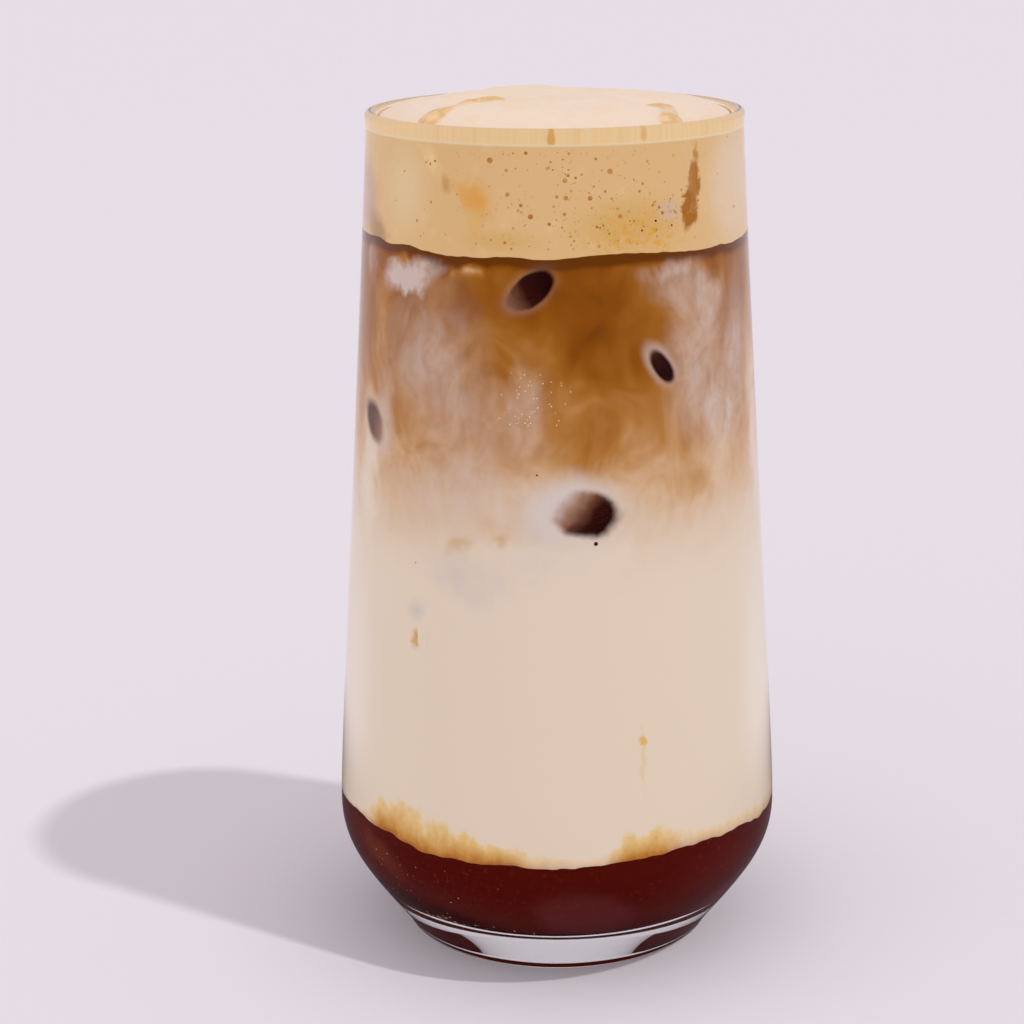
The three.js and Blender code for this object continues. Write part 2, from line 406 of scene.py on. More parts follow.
# %% Sizes of the glass
GLASS_HEIGHT = 150
WALL = 1.9
FOOT_RADIUS = 28.3
FOOT_RING_WIDTH = 2.4
FOOT_EDGE = 0.45
FOOT_CORNER = 1.26
PUSH_UP = 0.3
BELLY_RADIUS = 40.3
BELLY_HEIGHT = 23.3
SHOULDER_RADIUS = 32.83
SHOULDER_DROP = 3
RIM_RADIUS = 32.02
FLOOR_HEIGHT = 8.2
FLOOR_FLAT_RADIUS = 8
FLARE = math.radians(37.1)
FLARE_REACH = 14.3
TAPER = math.radians(3)
TAPER_REACH = 40.6
CURVE_STEPS = 48
BELLY_HANDLES = (7.1, 9.1)  # how far the curves keep upright below and above the widest part
BOWL_HANDLES = (0.3, 0.76)  # how low and how far out the bowl inside the foot sweeps, as shares
print("glass:", GLASS_HEIGHT, "mm high and", round(2 * BELLY_RADIUS, 1), "mm wide")

# %% [markdown]
# The outline starts at the middle of the underside and runs out to the foot ring and up the outside. Arcs
# would need a centre for every bend. A curve with two handles needs only the directions in which it
# leaves its ends, and these can be read off the photograph.

# %% Outline up the outside


def bezier(*corners, steps=CURVE_STEPS):
    """Points of a curve from (radius, height) corners: two ends and the handles between them."""
    start, lead, follow, end = [Vector(corner) for corner in corners]
    return [(point.x, point.y) for point in interpolate_bezier(start, lead, follow, end, steps + 1)]


def outside_outline():
    foot = (FOOT_RADIUS + FOOT_EDGE, FOOT_CORNER)
    shoulder = (SHOULDER_RADIUS, GLASS_HEIGHT - SHOULDER_DROP)
    flare = (foot[0] + FLARE_REACH * math.sin(FLARE), foot[1] + FLARE_REACH * math.cos(FLARE))
    taper = (shoulder[0] + TAPER_REACH * math.sin(TAPER), shoulder[1] - TAPER_REACH * math.cos(TAPER))
    widest = (BELLY_RADIUS, BELLY_HEIGHT)
    belly = bezier(foot, flare, (BELLY_RADIUS, BELLY_HEIGHT - BELLY_HANDLES[0]), widest)
    side = bezier(widest, (BELLY_RADIUS, BELLY_HEIGHT + BELLY_HANDLES[1]), taper, shoulder)
    return belly, side


def underside_outline():
    ring = FOOT_RADIUS - FOOT_RING_WIDTH
    hollow = bezier((0, PUSH_UP), (ring * 0.6, PUSH_UP), (ring * 0.8, PUSH_UP * 0.6), (ring, 0), steps=20)
    edge_start = (FOOT_RADIUS - FOOT_EDGE, 0)
    edge_end = (FOOT_RADIUS + FOOT_EDGE, FOOT_CORNER)
    edge = bezier(edge_start, (FOOT_RADIUS - 0.15, 0), (FOOT_RADIUS + 0.15, 0.42), edge_end, steps=8)
    return hollow + edge[:-1]


BELLY_OUTLINE, SIDE_OUTLINE = outside_outline()
print("points up the outside:", len(underside_outline() + BELLY_OUTLINE + SIDE_OUTLINE))

# %% [markdown]
# The outline goes on over the rim, which is half a circle, and down the inside. The inside of the wall is
# the outside moved inwards by the wall's thickness. A Solidify modifier would do that too, but it would
# give the foot the same thin wall, and the real one has a thick floor.

# %% Outline down the inside


def inside_outline(side):
    wall = [(radius - WALL, height) for radius, height in reversed(side)]
    start = wall[-1]
    low = FLOOR_HEIGHT + BOWL_HANDLES[0] * (BELLY_HEIGHT - FLOOR_HEIGHT)
    sweep = FLOOR_FLAT_RADIUS + BOWL_HANDLES[1] * (start[0] - FLOOR_FLAT_RADIUS)
    corner = bezier(start, (start[0], low), (sweep, FLOOR_HEIGHT), (FLOOR_FLAT_RADIUS, FLOOR_HEIGHT))
    return wall + corner[1:]


def rim_outline(steps=16):
    half = WALL / 2
    middle = GLASS_HEIGHT - half
    turns = [math.pi * step / steps for step in range(steps + 1)]
    return [(RIM_RADIUS + half * math.cos(turn), middle + half * math.sin(turn)) for turn in turns]


INSIDE_OUTLINE = inside_outline(SIDE_OUTLINE)
INSIDE_HEIGHTS = [height for _, height in reversed(INSIDE_OUTLINE)]
INSIDE_RADII = [radius for radius, _ in reversed(INSIDE_OUTLINE)]


def inside_radius(height):
    return float(np.interp(height, INSIDE_HEIGHTS, INSIDE_RADII))


print("inside radius at mid height:", round(inside_radius(75), 2), "mm")

# %% [markdown]
# Every piece is finished in the same way: smoothed, given its material and tied to the body that it belongs
# to, and the solid that it stands for is hidden. One function does this for all, so that nothing is
# forgotten.
# Edges stay crisp where the skin turns sharply, as at the foot and where two layers meet the wall.

# %% Finishing a piece


def place_point(radius, angle, height):
    """A point in metres from a radius and height in mm and an angle in degrees from the front."""
    turn = math.radians(angle)
    return Vector((radius * math.sin(turn), -radius * math.cos(turn), height)) * MM


SHARP_FROM = math.radians(40)  # edges that turn more than this stay crisp


def finish_object(name, mesh, material, replaced=()):
    """Puts a mesh into the scene as a smooth piece that rides on the body."""
    for polygon in mesh.polygons:
        polygon.use_smooth = True
    mesh.set_sharp_from_angle(angle=SHARP_FROM)
    piece = bpy.data.objects.new(name, mesh)
    bpy.context.collection.objects.link(piece)
    piece.data.materials.append(material)
    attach(piece, "root")
    if replaced:
        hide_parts(*replaced)
    print(f"{name}: {len(mesh.polygons)} faces")
    return piece


print("edges stay crisp from", round(math.degrees(SHARP_FROM)), "degrees")

# %% [markdown]
# All round pieces share one mesh maker. It takes rings of points from the bottom up, or a single point
# where the skin closes on the axis, and joins neighbours with faces. A lathe, a wavy layer of milk and a
# dome of foam are then only different rings.

# %% Skin over rings
ROUND = 320  # points round each ring


def skin_rings(name, rings):
    """A closed mesh over rings that run from the lowest to the highest round the outside."""
    body = bmesh.new()
    rows = [[body.verts.new(point) for point in ring] for ring in rings]
    for lower, upper in zip(rows, rows[1:]):
        count = max(len(lower), len(upper))
        for step in range(count):
            after = (step + 1) % count
            if len(lower) == 1:
                body.faces.new((lower[0], upper[after], upper[step]))
            elif len(upper) == 1:
                body.faces.new((lower[step], lower[after], upper[0]))
            else:
                body.faces.new((lower[step], lower[after], upper[after], upper[step]))
    bmesh.ops.recalc_face_normals(body, faces=body.faces)
    mesh = bpy.data.meshes.new(name)
    body.to_mesh(mesh)
    body.free()
    return mesh


def ring_at(radius, height, count=ROUND):
    if radius < 1e-6:
        return [place_point(0, 0, height)]
    return [place_point(radius, 360 * step / count, height) for step in range(count)]


print("a ring has", len(ring_at(1, 0)), "points")

# %% [markdown]
# Clear glass bends light, and in a render it would also block the lamps from what it holds, because a
# path tracer rarely finds a small lamp through two bent surfaces. So the glass is real glass to the
# camera, and simply clear to shadow rays and to light that has already bounced off the drink. The grey
# specular tint holds back the reflections that face the camera, as a polarising filter does, and leaves
# the bright ones along the edges.

# %% Glass material
GLASS_IOR = 1.5
GLASS_REFLECTION = (0.12, 0.12, 0.12, 1)


def clear_glass():
    material, graph, shader, surface = new_material("clear glass", (0.9, 0.95, 0.95, 0.2))
    shader["Base Color"].default_value = (1, 1, 1, 1)
    shader["Roughness"].default_value = 0
    shader["IOR"].default_value = GLASS_IOR
    shader["Specular Tint"].default_value = GLASS_REFLECTION
    shader["Transmission Weight"].default_value = 1
    path = graph.add("ShaderNodeLightPath").outputs
    through = graph.math("MAXIMUM", path["Is Shadow Ray"], path["Is Diffuse Ray"])
    clear = graph.add("ShaderNodeBsdfTransparent").outputs[0]
    glass = surface.links[0].from_socket
    graph.feed(surface, graph.add("ShaderNodeMixShader", {0: through, 1: glass, 2: clear}).outputs[0])
    return material


def add_glass():
    outline = underside_outline() + BELLY_OUTLINE + SIDE_OUTLINE[1:] + rim_outline() + INSIDE_OUTLINE
    outline.append((0, FLOOR_HEIGHT))
    rings = [ring_at(radius, height) for radius, height in outline]
    return finish_object("tumbler", skin_rings("tumbler", rings), clear_glass(), ["glass"])


add_glass()

# %% [markdown]
# ## The ice windows
# Where a piece of ice touches the glass there is no milk between, so one looks through the ice into the
# dark middle of the drink. Round the touch the film of milk is thin and looks lilac, then white. A real
# clear block would need the whole inside of the drink to be modelled. Drawing the touch as a dark core
# in a pale halo, on the drink and on the ice alike, gives the same look from every side. The core is
# paler towards one side, where milk has crept in between.

# %% Ice windows
# The dark core of each window is painted shade: the unlit depth of the drink, seen through the clear ice.
WINDOW_INPUTS = {**OVAL_INPUTS, "Edge": 0.3, "Reach": 1.8, "Pale turn": 180, "Pale": 0.5, "Least": 0,
                 "Uneven": 0.3, "Glow": 0.6}


def build_window():
    outputs = {"Core": "Float", "Halo": "Float", "Pale": "Float"}
    graph, given, out = new_group("ice window", WINDOW_INPUTS, outputs)
    oval = graph.group(OVAL, **{key.replace(" ", "_"): given[key] for key in OVAL_INPUTS})
    lumps = graph.noise(graph.group(PLACE)["Point"], 0.25, detail=3)
    offset = graph.math("MULTIPLY", graph.math("SUBTRACT", lumps, 0.5), given["Uneven"])
    distance = graph.math("MULTIPLY_ADD", offset, 2.0, oval["Distance"])
    inner = graph.math("SUBTRACT", 1.0, given["Edge"])
    graph.feed(out["Core"], graph.math("SUBTRACT", 1.0, graph.fade(distance, inner, 1.0)))
    turn = graph.math("RADIANS", given["Pale turn"])
    sideways = graph.math("MULTIPLY", oval["Across"], graph.math("COSINE", turn))
    upwards = graph.math("MULTIPLY", oval["Up"], graph.math("SINE", turn))
    towards = graph.math("DIVIDE", graph.math("ADD", sideways, upwards), given["Long"])
    towards = graph.math("MULTIPLY_ADD", offset, 2.4, towards)
    pale = graph.math("MULTIPLY_ADD", graph.fade(towards, -0.7, 1.0), given["Pale"], given["Least"])
    graph.feed(out["Pale"], pale)
    halo = graph.math("SUBTRACT", 1.0, graph.fade(distance, 0.8, given["Reach"]))
    halo = graph.math("MULTIPLY", halo, graph.fade(towards, -1.4, 0.7, 0.25, 1.0))
    graph.feed(out["Halo"], graph.math("MULTIPLY", halo, given["Glow"]))
    return graph.tree


WINDOW = build_window()
print("window group:", len(WINDOW.nodes), "nodes")

# %% [markdown]
# Four windows show. Each is a few values: where it lies, how long and wide it is, how it is turned, how
# soft and uneven its edge is, how far its halo reaches and how it glows, and towards which side the core
# gets paler. The lowest piece of ice has milk in front of it, so it is only a grey spot in the milk.

# %% Places of the windows
WINDOWS = {
    "front high": {
        "At_angle": -7.0, "At_height": 123.8, "Long": 4.9, "Wide": 2.8, "Turn": 40, "Edge": 0.2,
        "Reach": 1.4, "Glow": 0.12, "Pale_turn": -150, "Pale": 0.6, "Uneven": 0.16,
    },
    "front right": {
        "At_angle": 31.4, "At_height": 110.3, "Long": 4.0, "Wide": 1.9, "Turn": -56, "Edge": 0.35,
        "Reach": 1.6, "Glow": 0.45, "Pale_turn": 130, "Pale": 0.4, "Uneven": 0.12,
    },
    "left": {
        "At_angle": -63.0, "At_height": 98, "Long": 5.0, "Wide": 3.4, "Turn": -48, "Edge": 0.5,
        "Reach": 1.5, "Glow": 0.35, "Pale_turn": -10, "Pale": 0.46, "Least": 0.34, "Uneven": 0.14,
    },
    "front middle": {
        "At_angle": 7.8, "At_height": 86.5, "Long": 6.5, "Wide": 4.8, "Turn": -14, "Edge": 0.36,
        "Reach": 1.75, "Glow": 0.85, "Pale_turn": 138, "Pale": 1.0, "Least": 0.12, "Uneven": 0.2,
    },
}
WINDOW_HALO = seen(206, 190, 187)
# From painted shade in the core, the unlit depth seen through the ice, to pale milk that has crept in.
WINDOW_SHADE_TO_MILK = [
    (0.0, seen(26, 1, 1)),
    (0.3, seen(44, 9, 4)),
    (0.5, seen(100, 58, 42)),
    (0.72, seen(148, 108, 90)),
    (0.9, seen(186, 160, 152)),
    (1.0, seen(204, 186, 184)),
]


def lay_windows(graph, colour, angle, height):
    """Lays the halo and then the core of each window over a colour."""
    for window in WINDOWS.values():
        made = graph.group(WINDOW, Angle=angle, Height=height, **window)
        colour = graph.blend(made["Halo"], colour, WINDOW_HALO)
        # The core: painted shade, paler where milk has crept in.
        colour = graph.blend(made["Core"], colour, graph.ramp(made["Pale"], WINDOW_SHADE_TO_MILK))
    return colour


print("ice windows:", len(WINDOWS))

# %% [markdown]
# ## Colour of the milk and the cloud
# The milk and the clouded coffee have no edge between them, so one node group colours both. Mixing a
# dozen colours by hand would look like camouflage. In the real drink there are only two things that
# vary: how much coffee there is, and how thick a film of milk lies in front of it. So the group works
# out those two numbers and looks the colour up on one ramp from milk to deep coffee. The thin film in
# front then adds its pale lilac. Where the photograph shows more or less of either, a soft spot says so.

# %% Coffee and film
COFFEE_RAMP = [
    (0.0, seen(219, 198, 181)),
    (0.14, seen(212, 187, 167)),
    (0.28, seen(205, 169, 138)),
    (0.42, seen(192, 145, 103)),
    (0.56, seen(171, 114, 58)),
    (0.7, seen(151, 91, 26)),
    (0.84, seen(133, 71, 6)),
    (1.0, seen(98, 48, 3)),
]
FILM_COLOUR = seen(205, 186, 181)

# Where there is more coffee, or less: (amount, (degrees, mm up), (half length, half width), turn, soft)
COFFEE_SPOTS = [
    (0.13, (4, 120), (15, 8), -4, 0.6),
    (0.1, (2, 127.5), (16, 3), 0, 0.8),
    (0.16, (11, 112), (8, 7), 0, 0.8),
    (0.1, (13, 98), (10, 5), 80, 0.9),
    (-0.03, (-36, 107), (13, 10), 80, 0.9),
    (0.1, (40, 90), (9, 5), 10, 0.9),
    (0.07, (-26, 119), (7, 5), 65, 0.8),
    (-0.1, (46, 120), (11, 9), 90, 0.8),
    (-0.06, (-10, 107), (6, 3), 90, 0.9),
    (0.12, (25, 112), (6, 2.5), 90, 0.8),
    (-0.1, (54, 94), (9, 6), 60, 0.9),
    (-0.24, (-66, 92), (18, 5), 90, 0.9),
    (-0.14, (-60, 114), (12, 4), 90, 0.9),
    (-0.3, (77, 102), (26, 5), 90, 0.9),
    (-0.1, (0, 79), (16, 5), 0, 0.9),
    (0.14, (-27, 80.6), (3.4, 2), 20, 0.8),
    (0.14, (-15, 82.6), (2.6, 2.2), 60, 0.8),
]

# Where a film of milk lies in front: the same columns
FILM_SPOTS = [
    (0.95, (-47.5, 124.6), (8.5, 3.9), 12, 0.8),
    (0.25, (-40, 113), (17, 14), 70, 0.9),
    (0.27, (-26, 101), (22, 12), -42, 0.9),
    (0.26, (-8, 104), (10, 5), 86, 0.9),
    (0.38, (-30, 89), (17, 9), 0, 0.9),
    (0.34, (-57, 98), (14, 4), 90, 0.9),
    (0.42, (-70, 126), (6, 3), 90, 0.9),
    (0.44, (47, 109), (18, 11), 88, 0.8),
    (0.42, (43, 122), (12, 6), -24, 0.9),
    (0.4, (37, 127), (9, 2.6), 8, 0.9),
    (0.4, (66, 110), (18, 6), 90, 0.9),
    (0.5, (56, 99), (10, 6), 90, 0.9),
    (0.5, (-1, 86), (10, 6.5), 4, 0.9),
    (0.75, (-24, 74.5), (10, 6), -20, 0.9),
    (0.3, (-4, 78), (12, 4), 0, 0.9),
    (0.3, (-3, 83.5), (6, 5), 30, 0.9),
]
print("spots of coffee:", len(COFFEE_SPOTS), "and of film:", len(FILM_SPOTS))

# %% [markdown]
# The amounts rise with the height, then come the spots, then noise: broad folds, fine threads, and a
# smoke that thickens and thins the film. Noise alone would give the right texture in the wrong places,
# and spots alone would look like paint. Round the back, where there are no spots, the film is only noise.

# %% Amounts of coffee and film
COFFEE_COMES_IN = (70, 108)  # mm up: from plain milk to well mixed
COFFEE_DEEPENS = (100, 130)
FOLDS_FROM = (70, 96)  # mm up: over this height the folds come in
VEILS_FROM = (76, 94)
UNSEEN_FROM = (80, 105)  # degrees: farther round than this the clouds are only noise
FOLDS = 0.42  # how strongly the folds and the threads change the coffee
THREADS = 0.05


def ramp_over(graph, value, stops):
    """A colour ramp over (value, colour) stops that need not run from 0 to 1."""
    low, high = stops[0][0], stops[-1][0]
    inputs = {"Value": value, "From Min": low, "From Max": high}
    share = graph.add("ShaderNodeMapRange", inputs).outputs[0]
    return graph.ramp(share, [((at - low) / (high - low), colour) for at, colour in stops])


def coffee_amount(graph, angle, height, place):
    """How much coffee is mixed in, from 0 to 1."""
    low = graph.fade(height, *COFFEE_COMES_IN, 0.0, 0.6)
    amount = graph.math("ADD", low, graph.fade(height, *COFFEE_DEEPENS, 0.0, 0.16))
    amount = add_spots(graph, amount, angle, height, COFFEE_SPOTS)
    folds = graph.noise(graph.stretch(place["Point"], (1, 1, 0.8)), 0.11, detail=7, distortion=1.5)
    threads = graph.noise(graph.stretch(place["Point"], (1, 1, 0.22)), 0.8, detail=4)
    lively = graph.fade(place["Height"], *FOLDS_FROM)
    for pattern, strength in ((folds, FOLDS), (threads, THREADS)):
        change = graph.math("MULTIPLY", graph.math("SUBTRACT", pattern, 0.5), strength)
        amount = graph.math("MULTIPLY_ADD", change, lively, amount)
    return amount


def film_amount(graph, angle, height, place):
    """How thick the film of milk in front is, from 0 to 1."""
    amount = add_spots(graph, 0.0, angle, height, FILM_SPOTS)
    clouds = graph.noise(graph.stretch(place["Point"], (1, 1, 0.7)), 0.12, detail=6, distortion=1.0)
    amount = graph.math("MULTIPLY", amount, graph.fade(clouds, 0.3, 0.65, 0.7, 1.2))
    veils = graph.noise(graph.stretch(place["Point"], (1, 1, 0.35)), 0.07, detail=5, distortion=1.0)
    unseen = graph.fade(graph.math("ABSOLUTE", place["Angle"]), *UNSEEN_FROM)
    veils = graph.math("MULTIPLY", graph.fade(veils, 0.42, 0.62, 0.0, 0.55), unseen)
    amount = graph.math("MULTIPLY_ADD", veils, graph.fade(place["Height"], *VEILS_FROM), amount)
    smoke = graph.noise(graph.stretch(place["Point"], (1, 1, 0.75)), 0.2, detail=6, distortion=1.6)
    return graph.math("MULTIPLY", amount, graph.fade(smoke, 0.32, 0.68, 0.78, 1.22))


print("coffee comes in between", *COFFEE_COMES_IN, "mm")

# %% [markdown]
# Two things happen right under the foam. On the left, coffee and milk tumble over each other. And all
# round, undiluted coffee floats as a thin dark belt, which follows the wavy edge of the foam. The belt
# can't be drawn at a fixed height, so the mesh carries the depth below the foam as a number, `below`.

# %% Colour of the drink
TURMOIL_PLACE = (-36, 127.4)  # degrees, mm up
TURMOIL_SIZE = (15, 3.4)
TURMOIL_STRENGTH = 2.1
BELT_DEPTH = 2.6  # mm below the foam
BELT_STRENGTH = 0.42
FILM_BELOW_FOAM = (0.3, 2.2)  # mm: the film starts under the belt
THICKEST_FILM = 0.82


def turmoil(graph, place):
    """Coffee to add or take away where the layers tumble."""
    tumbling = graph.noise(place["Point"], 0.2, detail=5, distortion=1.2)
    here = spot(graph, place["Angle"], place["Height"], TURMOIL_PLACE, TURMOIL_SIZE, soft=0.9)
    strength = graph.math("MULTIPLY", here, TURMOIL_STRENGTH)
    return graph.math("MULTIPLY", graph.math("SUBTRACT", tumbling, 0.55), strength)


def build_drink_colour():
    graph, _, out = new_group("colour of the drink", {}, {"Color": "Color"})
    place = graph.group(PLACE)
    wide = swirled(graph, place, sideways=6, upwards=4, scale=0.09)
    bent = swirled(graph, wide, sideways=1.8, upwards=1.3, scale=0.26)
    coffee = coffee_amount(graph, bent["Angle"], bent["Height"], place)
    coffee = graph.math("ADD", coffee, turmoil(graph, place))
    under = graph.add("ShaderNodeAttribute", attribute_name="below").outputs["Fac"]
    belt = graph.fade(under, BELT_DEPTH, 0.0)
    coffee = graph.math("MULTIPLY_ADD", belt, BELT_STRENGTH, coffee)
    colour = ramp_over(graph, coffee, COFFEE_RAMP)
    film = film_amount(graph, bent["Angle"], bent["Height"], place)
    film = graph.math("MULTIPLY", film, graph.fade(under, *FILM_BELOW_FOAM))
    colour = graph.blend(graph.math("MINIMUM", film, THICKEST_FILM), colour, FILM_COLOUR)
    graph.feed(out["Color"], lay_windows(graph, colour, place["Angle"], place["Height"]))
    return graph.tree


DRINK_COLOUR = build_drink_colour()
print("drink colour group:", len(DRINK_COLOUR.nodes), "nodes")

# %% [markdown]
# ## The layers of the drink
# Each layer is a closed body that fills the glass from wall to wall. It reaches 0.15 mm into the wall, so
# that no film of air shows between the drink and the glass. One body cut by planes would have straight
# lines between its layers. Here the surface between two layers is a function that both of them use, so
# neighbours meet without a gap, however wavy the line is.

# %% Surfaces between the layers
COFFEE_LEVEL = 25  # mm up, as all levels
MILK_LEVEL = 77
FOAM_LEVEL = 129.3
FOAM_CONTACT = 147.2
FOAM_CROWN = 152.4
REACH_INTO_WALL = 0.15


def swell(x, y, rise, length, bearing):
    along = x * math.cos(bearing) + y * math.sin(bearing)
    return rise * math.sin(2 * math.pi * along / length + bearing)


def ripple(x, y, rise, length):
    """Fine unevenness that never repeats."""
    return rise * noise.noise(Vector((x / length, y / length, 0.7)))


def coffee_top(x, y):
    fine = ripple(x, y, 0.7, 7) + ripple(x, y, 0.3, 2)
    return COFFEE_LEVEL + swell(x, y, 0.5, 57, 0.4) + swell(x, y, 0.4, 45, 1.9) + fine


def milk_top(x, y):
    return MILK_LEVEL + swell(x, y, 1.6, 62, 0.2) + swell(x, y, 1.2, 47, 1.2)


def foam_underside(x, y):
    fine = ripple(x, y, 0.6, 6) + ripple(x, y, 0.16, 1.3)
    return FOAM_LEVEL + swell(x, y, 0.35, 37, 0.1) + swell(x, y, 0.3, 42, 1.6) + fine


print("foam underside at the front:", round(foam_underside(0, -31), 2), "mm")

# %% [markdown]
# A wavy surface meets the round wall in a line that has no simple formula, because the glass is wider
# where the line dips. It could be solved for exactly, but going back and forth between height and radius
# three times comes close enough.

# %% Edge of a surface


def drink_radius(height):
    return inside_radius(height) + REACH_INTO_WALL


def edge_of(surface):
    """The (angle, height) line in which a surface meets the wall."""
    line = []
    for step in range(ROUND):
        angle = 360 * step / ROUND
        height = surface(0, 0)
        for _ in range(3):
            point = place_point(drink_radius(height), angle, 0) / MM
            height = surface(point.x, point.y)
        line.append((angle, height))
    return line


lowest, highest = [pick(height for _, height in edge_of(coffee_top)) for pick in (min, max)]
print("the coffee meets the wall between", round(lowest, 1), "and", round(highest, 1), "mm")

# %% [markdown]
# The rings of a layer run from the middle of its lower surface out to the wall, up the wall, and back in
# over its upper surface. Each vertex also remembers how far it lies above one surface and below another,
# because some of the paint follows those wavy lines. Plain height couldn't tell it where they are.

# %% Rings of a layer
SURFACE_SHARES = [0, 0.25, 0.5, 0.75, 0.92, 1]


def surface_ring(surface, share):
    if share == 0:
        return [place_point(0, 0, surface(0, 0))]
    ring = []
    for angle, height in edge_of(surface):
        radius = drink_radius(height) * share
        point = place_point(radius, angle, 0) / MM
        ring.append(place_point(radius, angle, surface(point.x, point.y)))
    return ring


def wall_rings(lower, upper, rows):
    """Rings up the wall between the edges of two surfaces."""
    rings = []
    for row in range(1, rows):
        ring = []
        for (angle, low), (_, high) in zip(edge_of(lower), edge_of(upper)):
            height = low + (high - low) * row / rows
            ring.append(place_point(drink_radius(height), angle, height))
        rings.append(ring)
    return rings


def layer_rings(lower, upper, rows):
    bottom = [surface_ring(lower, share) for share in SURFACE_SHARES]
    top = [surface_ring(upper, share) for share in reversed(SURFACE_SHARES)]
    return bottom + wall_rings(lower, upper, rows) + top


def mark_depth(mesh, lower, upper):
    """Stores on each vertex how far in mm it lies above the lower and below the upper surface."""
    for name, surface, sign in (("above", lower, 1), ("below", upper, -1)):
        values = []
        for vertex in mesh.vertices:
            x, y, z = vertex.co / MM
            values.append(sign * (z - surface(x, y)))
        mesh.attributes.new(name, "FLOAT", "POINT").data.foreach_set("value", values)


print("rings of the milk with 10 rows on the wall:", len(layer_rings(coffee_top, milk_top, 10)))

# %% [markdown]
# The milk is the same paint as the cloud, with one thing more: where it rests on the dark coffee, coffee
# has been drawn up into it as an amber fringe with a ragged top, high on the left and low in the middle.
# A drop of it has also run down the glass further up. The fringe could be a mesh of its own, but it has
# no thickness, so its height is a number that changes round the glass, again as a list of spots.

# %% Fringe and drops
FRINGE_LEAST = 0.8  # mm
FRINGE_RAMP = [
    (0.0, seen(162, 96, 38)),
    (0.22, seen(194, 138, 72)),
    (0.6, seen(216, 176, 118)),
    (1.0, seen(222, 196, 160)),
]

# Height of the fringe in mm: (amount, (degrees, 0), (half length, 1), turn, softness)
FRINGE_SPOTS = [
    (6.5, (-47, 0), (9, 1), 0, 0.9),
    (5.5, (-27, 0), (15, 1), 0, 0.9),
    (1.8, (-4, 0), (9, 1), 0, 0.9),
    (4.6, (22, 0), (8, 1), 0, 0.8),
    (2.2, (42, 0), (12, 1), 0, 0.9),
    (2.2, (70, 0), (12, 1), 0, 0.9),
    (3.0, (130, 0), (20, 1), 0, 0.9),
    (3.5, (-140, 0), (22, 1), 0, 0.9),
]

# Stains of the milk, with painted light among them: the first is the painted shade of the lowest ice, a
# grey spot seen through the milk, and the last two are a painted sheen that makes the milk paler towards
# both sides, where the glass mirrors the pale set. The columns: (colour, strength, (degrees, mm up), (half
# length, half width), turn, softness)
MILK_STAINS_SHADE_AND_SHEEN = [
    (seen(197, 184, 178), 0.7, (-40.9, 67.4), (3.0, 2.5), 90, 0.9),
    (seen(198, 153, 92), 0.95, (-40.6, 62.6), (2.5, 1.25), 88, 0.8),
    (seen(214, 164, 66), 0.9, (22.9, 46.3), (1.2, 0.75), 80, 0.6),
    (seen(214, 178, 126), 0.5, (22.9, 43.0), (9.5, 0.35), 90, 0.8),
    # Painted sheen: the milk paler towards the left and right sides.
    (seen(228, 214, 206), 0.55, (-70, 48), (32, 9), 90, 0.9),
    (seen(232, 216, 207), 0.55, (70, 48), (32, 9), 90, 0.9),
]
print("spots of the fringe:", len(FRINGE_SPOTS), "and of the milk:", len(MILK_STAINS_SHADE_AND_SHEEN))

# %% [markdown]
# Milk and cloud are two bodies with one look. Neither shines by itself: the shine belongs to the glass in
# front of them, and a second one would turn the dark parts grey. The milk's mesh carries the height above
# the coffee as a number, `above`, so that its fringe follows the wavy line.

# %% Milk and cloud
LAYER_ROWS = 40


def drink_material(name):
    material, graph, shader, _ = new_material(name, COFFEE_RAMP[0][1])
    graph.feed(shader["Base Color"], graph.group(DRINK_COLOUR)["Color"])
    shader["Roughness"].default_value = 0.5
    shader["Specular IOR Level"].default_value = 0
    return material


def milk_material():
    material, graph, shader, _ = new_material("milk", COFFEE_RAMP[0][1])
    colour = graph.group(DRINK_COLOUR)["Color"]
    place = graph.group(PLACE)
    bent = swirled(graph, place, sideways=2, upwards=1.2, scale=0.4)
    # Lays the stains of the milk, the painted shade of the lowest ice and the painted sheen at the sides.
    colour = lay_spots(graph, colour, bent["Angle"], place["Height"], MILK_STAINS_SHADE_AND_SHEEN)
    above = graph.add("ShaderNodeAttribute", attribute_name="above").outputs["Fac"]
    reach = add_spots(graph, FRINGE_LEAST, bent["Angle"], 0.0, FRINGE_SPOTS)
    strength = graph.fade(reach, 1.5, 5.5, 0.35, 1.0)
    ragged = graph.noise(graph.stretch(place["Point"], (1, 1, 0.7)), 0.2, detail=7, roughness=0.62)
    reach = graph.math("MULTIPLY", reach, graph.fade(ragged, 0.3, 0.7, 0.65, 1.3))
    torn = graph.noise(place["Point"], 0.34, detail=7, roughness=0.66)
    share = graph.math("DIVIDE", above, reach)
    share = graph.math("MULTIPLY_ADD", graph.math("SUBTRACT", torn, 0.5), 0.6, share)
    mask = graph.math("MULTIPLY", graph.fade(share, 1.05, 0.72), strength)
    colour = graph.blend(mask, colour, ramp_over(graph, share, FRINGE_RAMP))
    graph.feed(shader["Base Color"], colour)
    shader["Roughness"].default_value = 0.5
    shader["Specular IOR Level"].default_value = 0
    return material


def add_milk_and_cloud():
    milk = skin_rings("milk_layer", layer_rings(coffee_top, milk_top, LAYER_ROWS))
    mark_depth(milk, coffee_top, lambda x, y: FOAM_LEVEL)
    finish_object("milk_layer", milk, milk_material(), ["milk"])
    cloud = skin_rings("cloud_layer", layer_rings(milk_top, foam_underside, LAYER_ROWS))
    mark_depth(cloud, coffee_top, foam_underside)
    finish_object("cloud_layer", cloud, drink_material("clouded coffee"), ["coffee_cloud"])


add_milk_and_cloud()
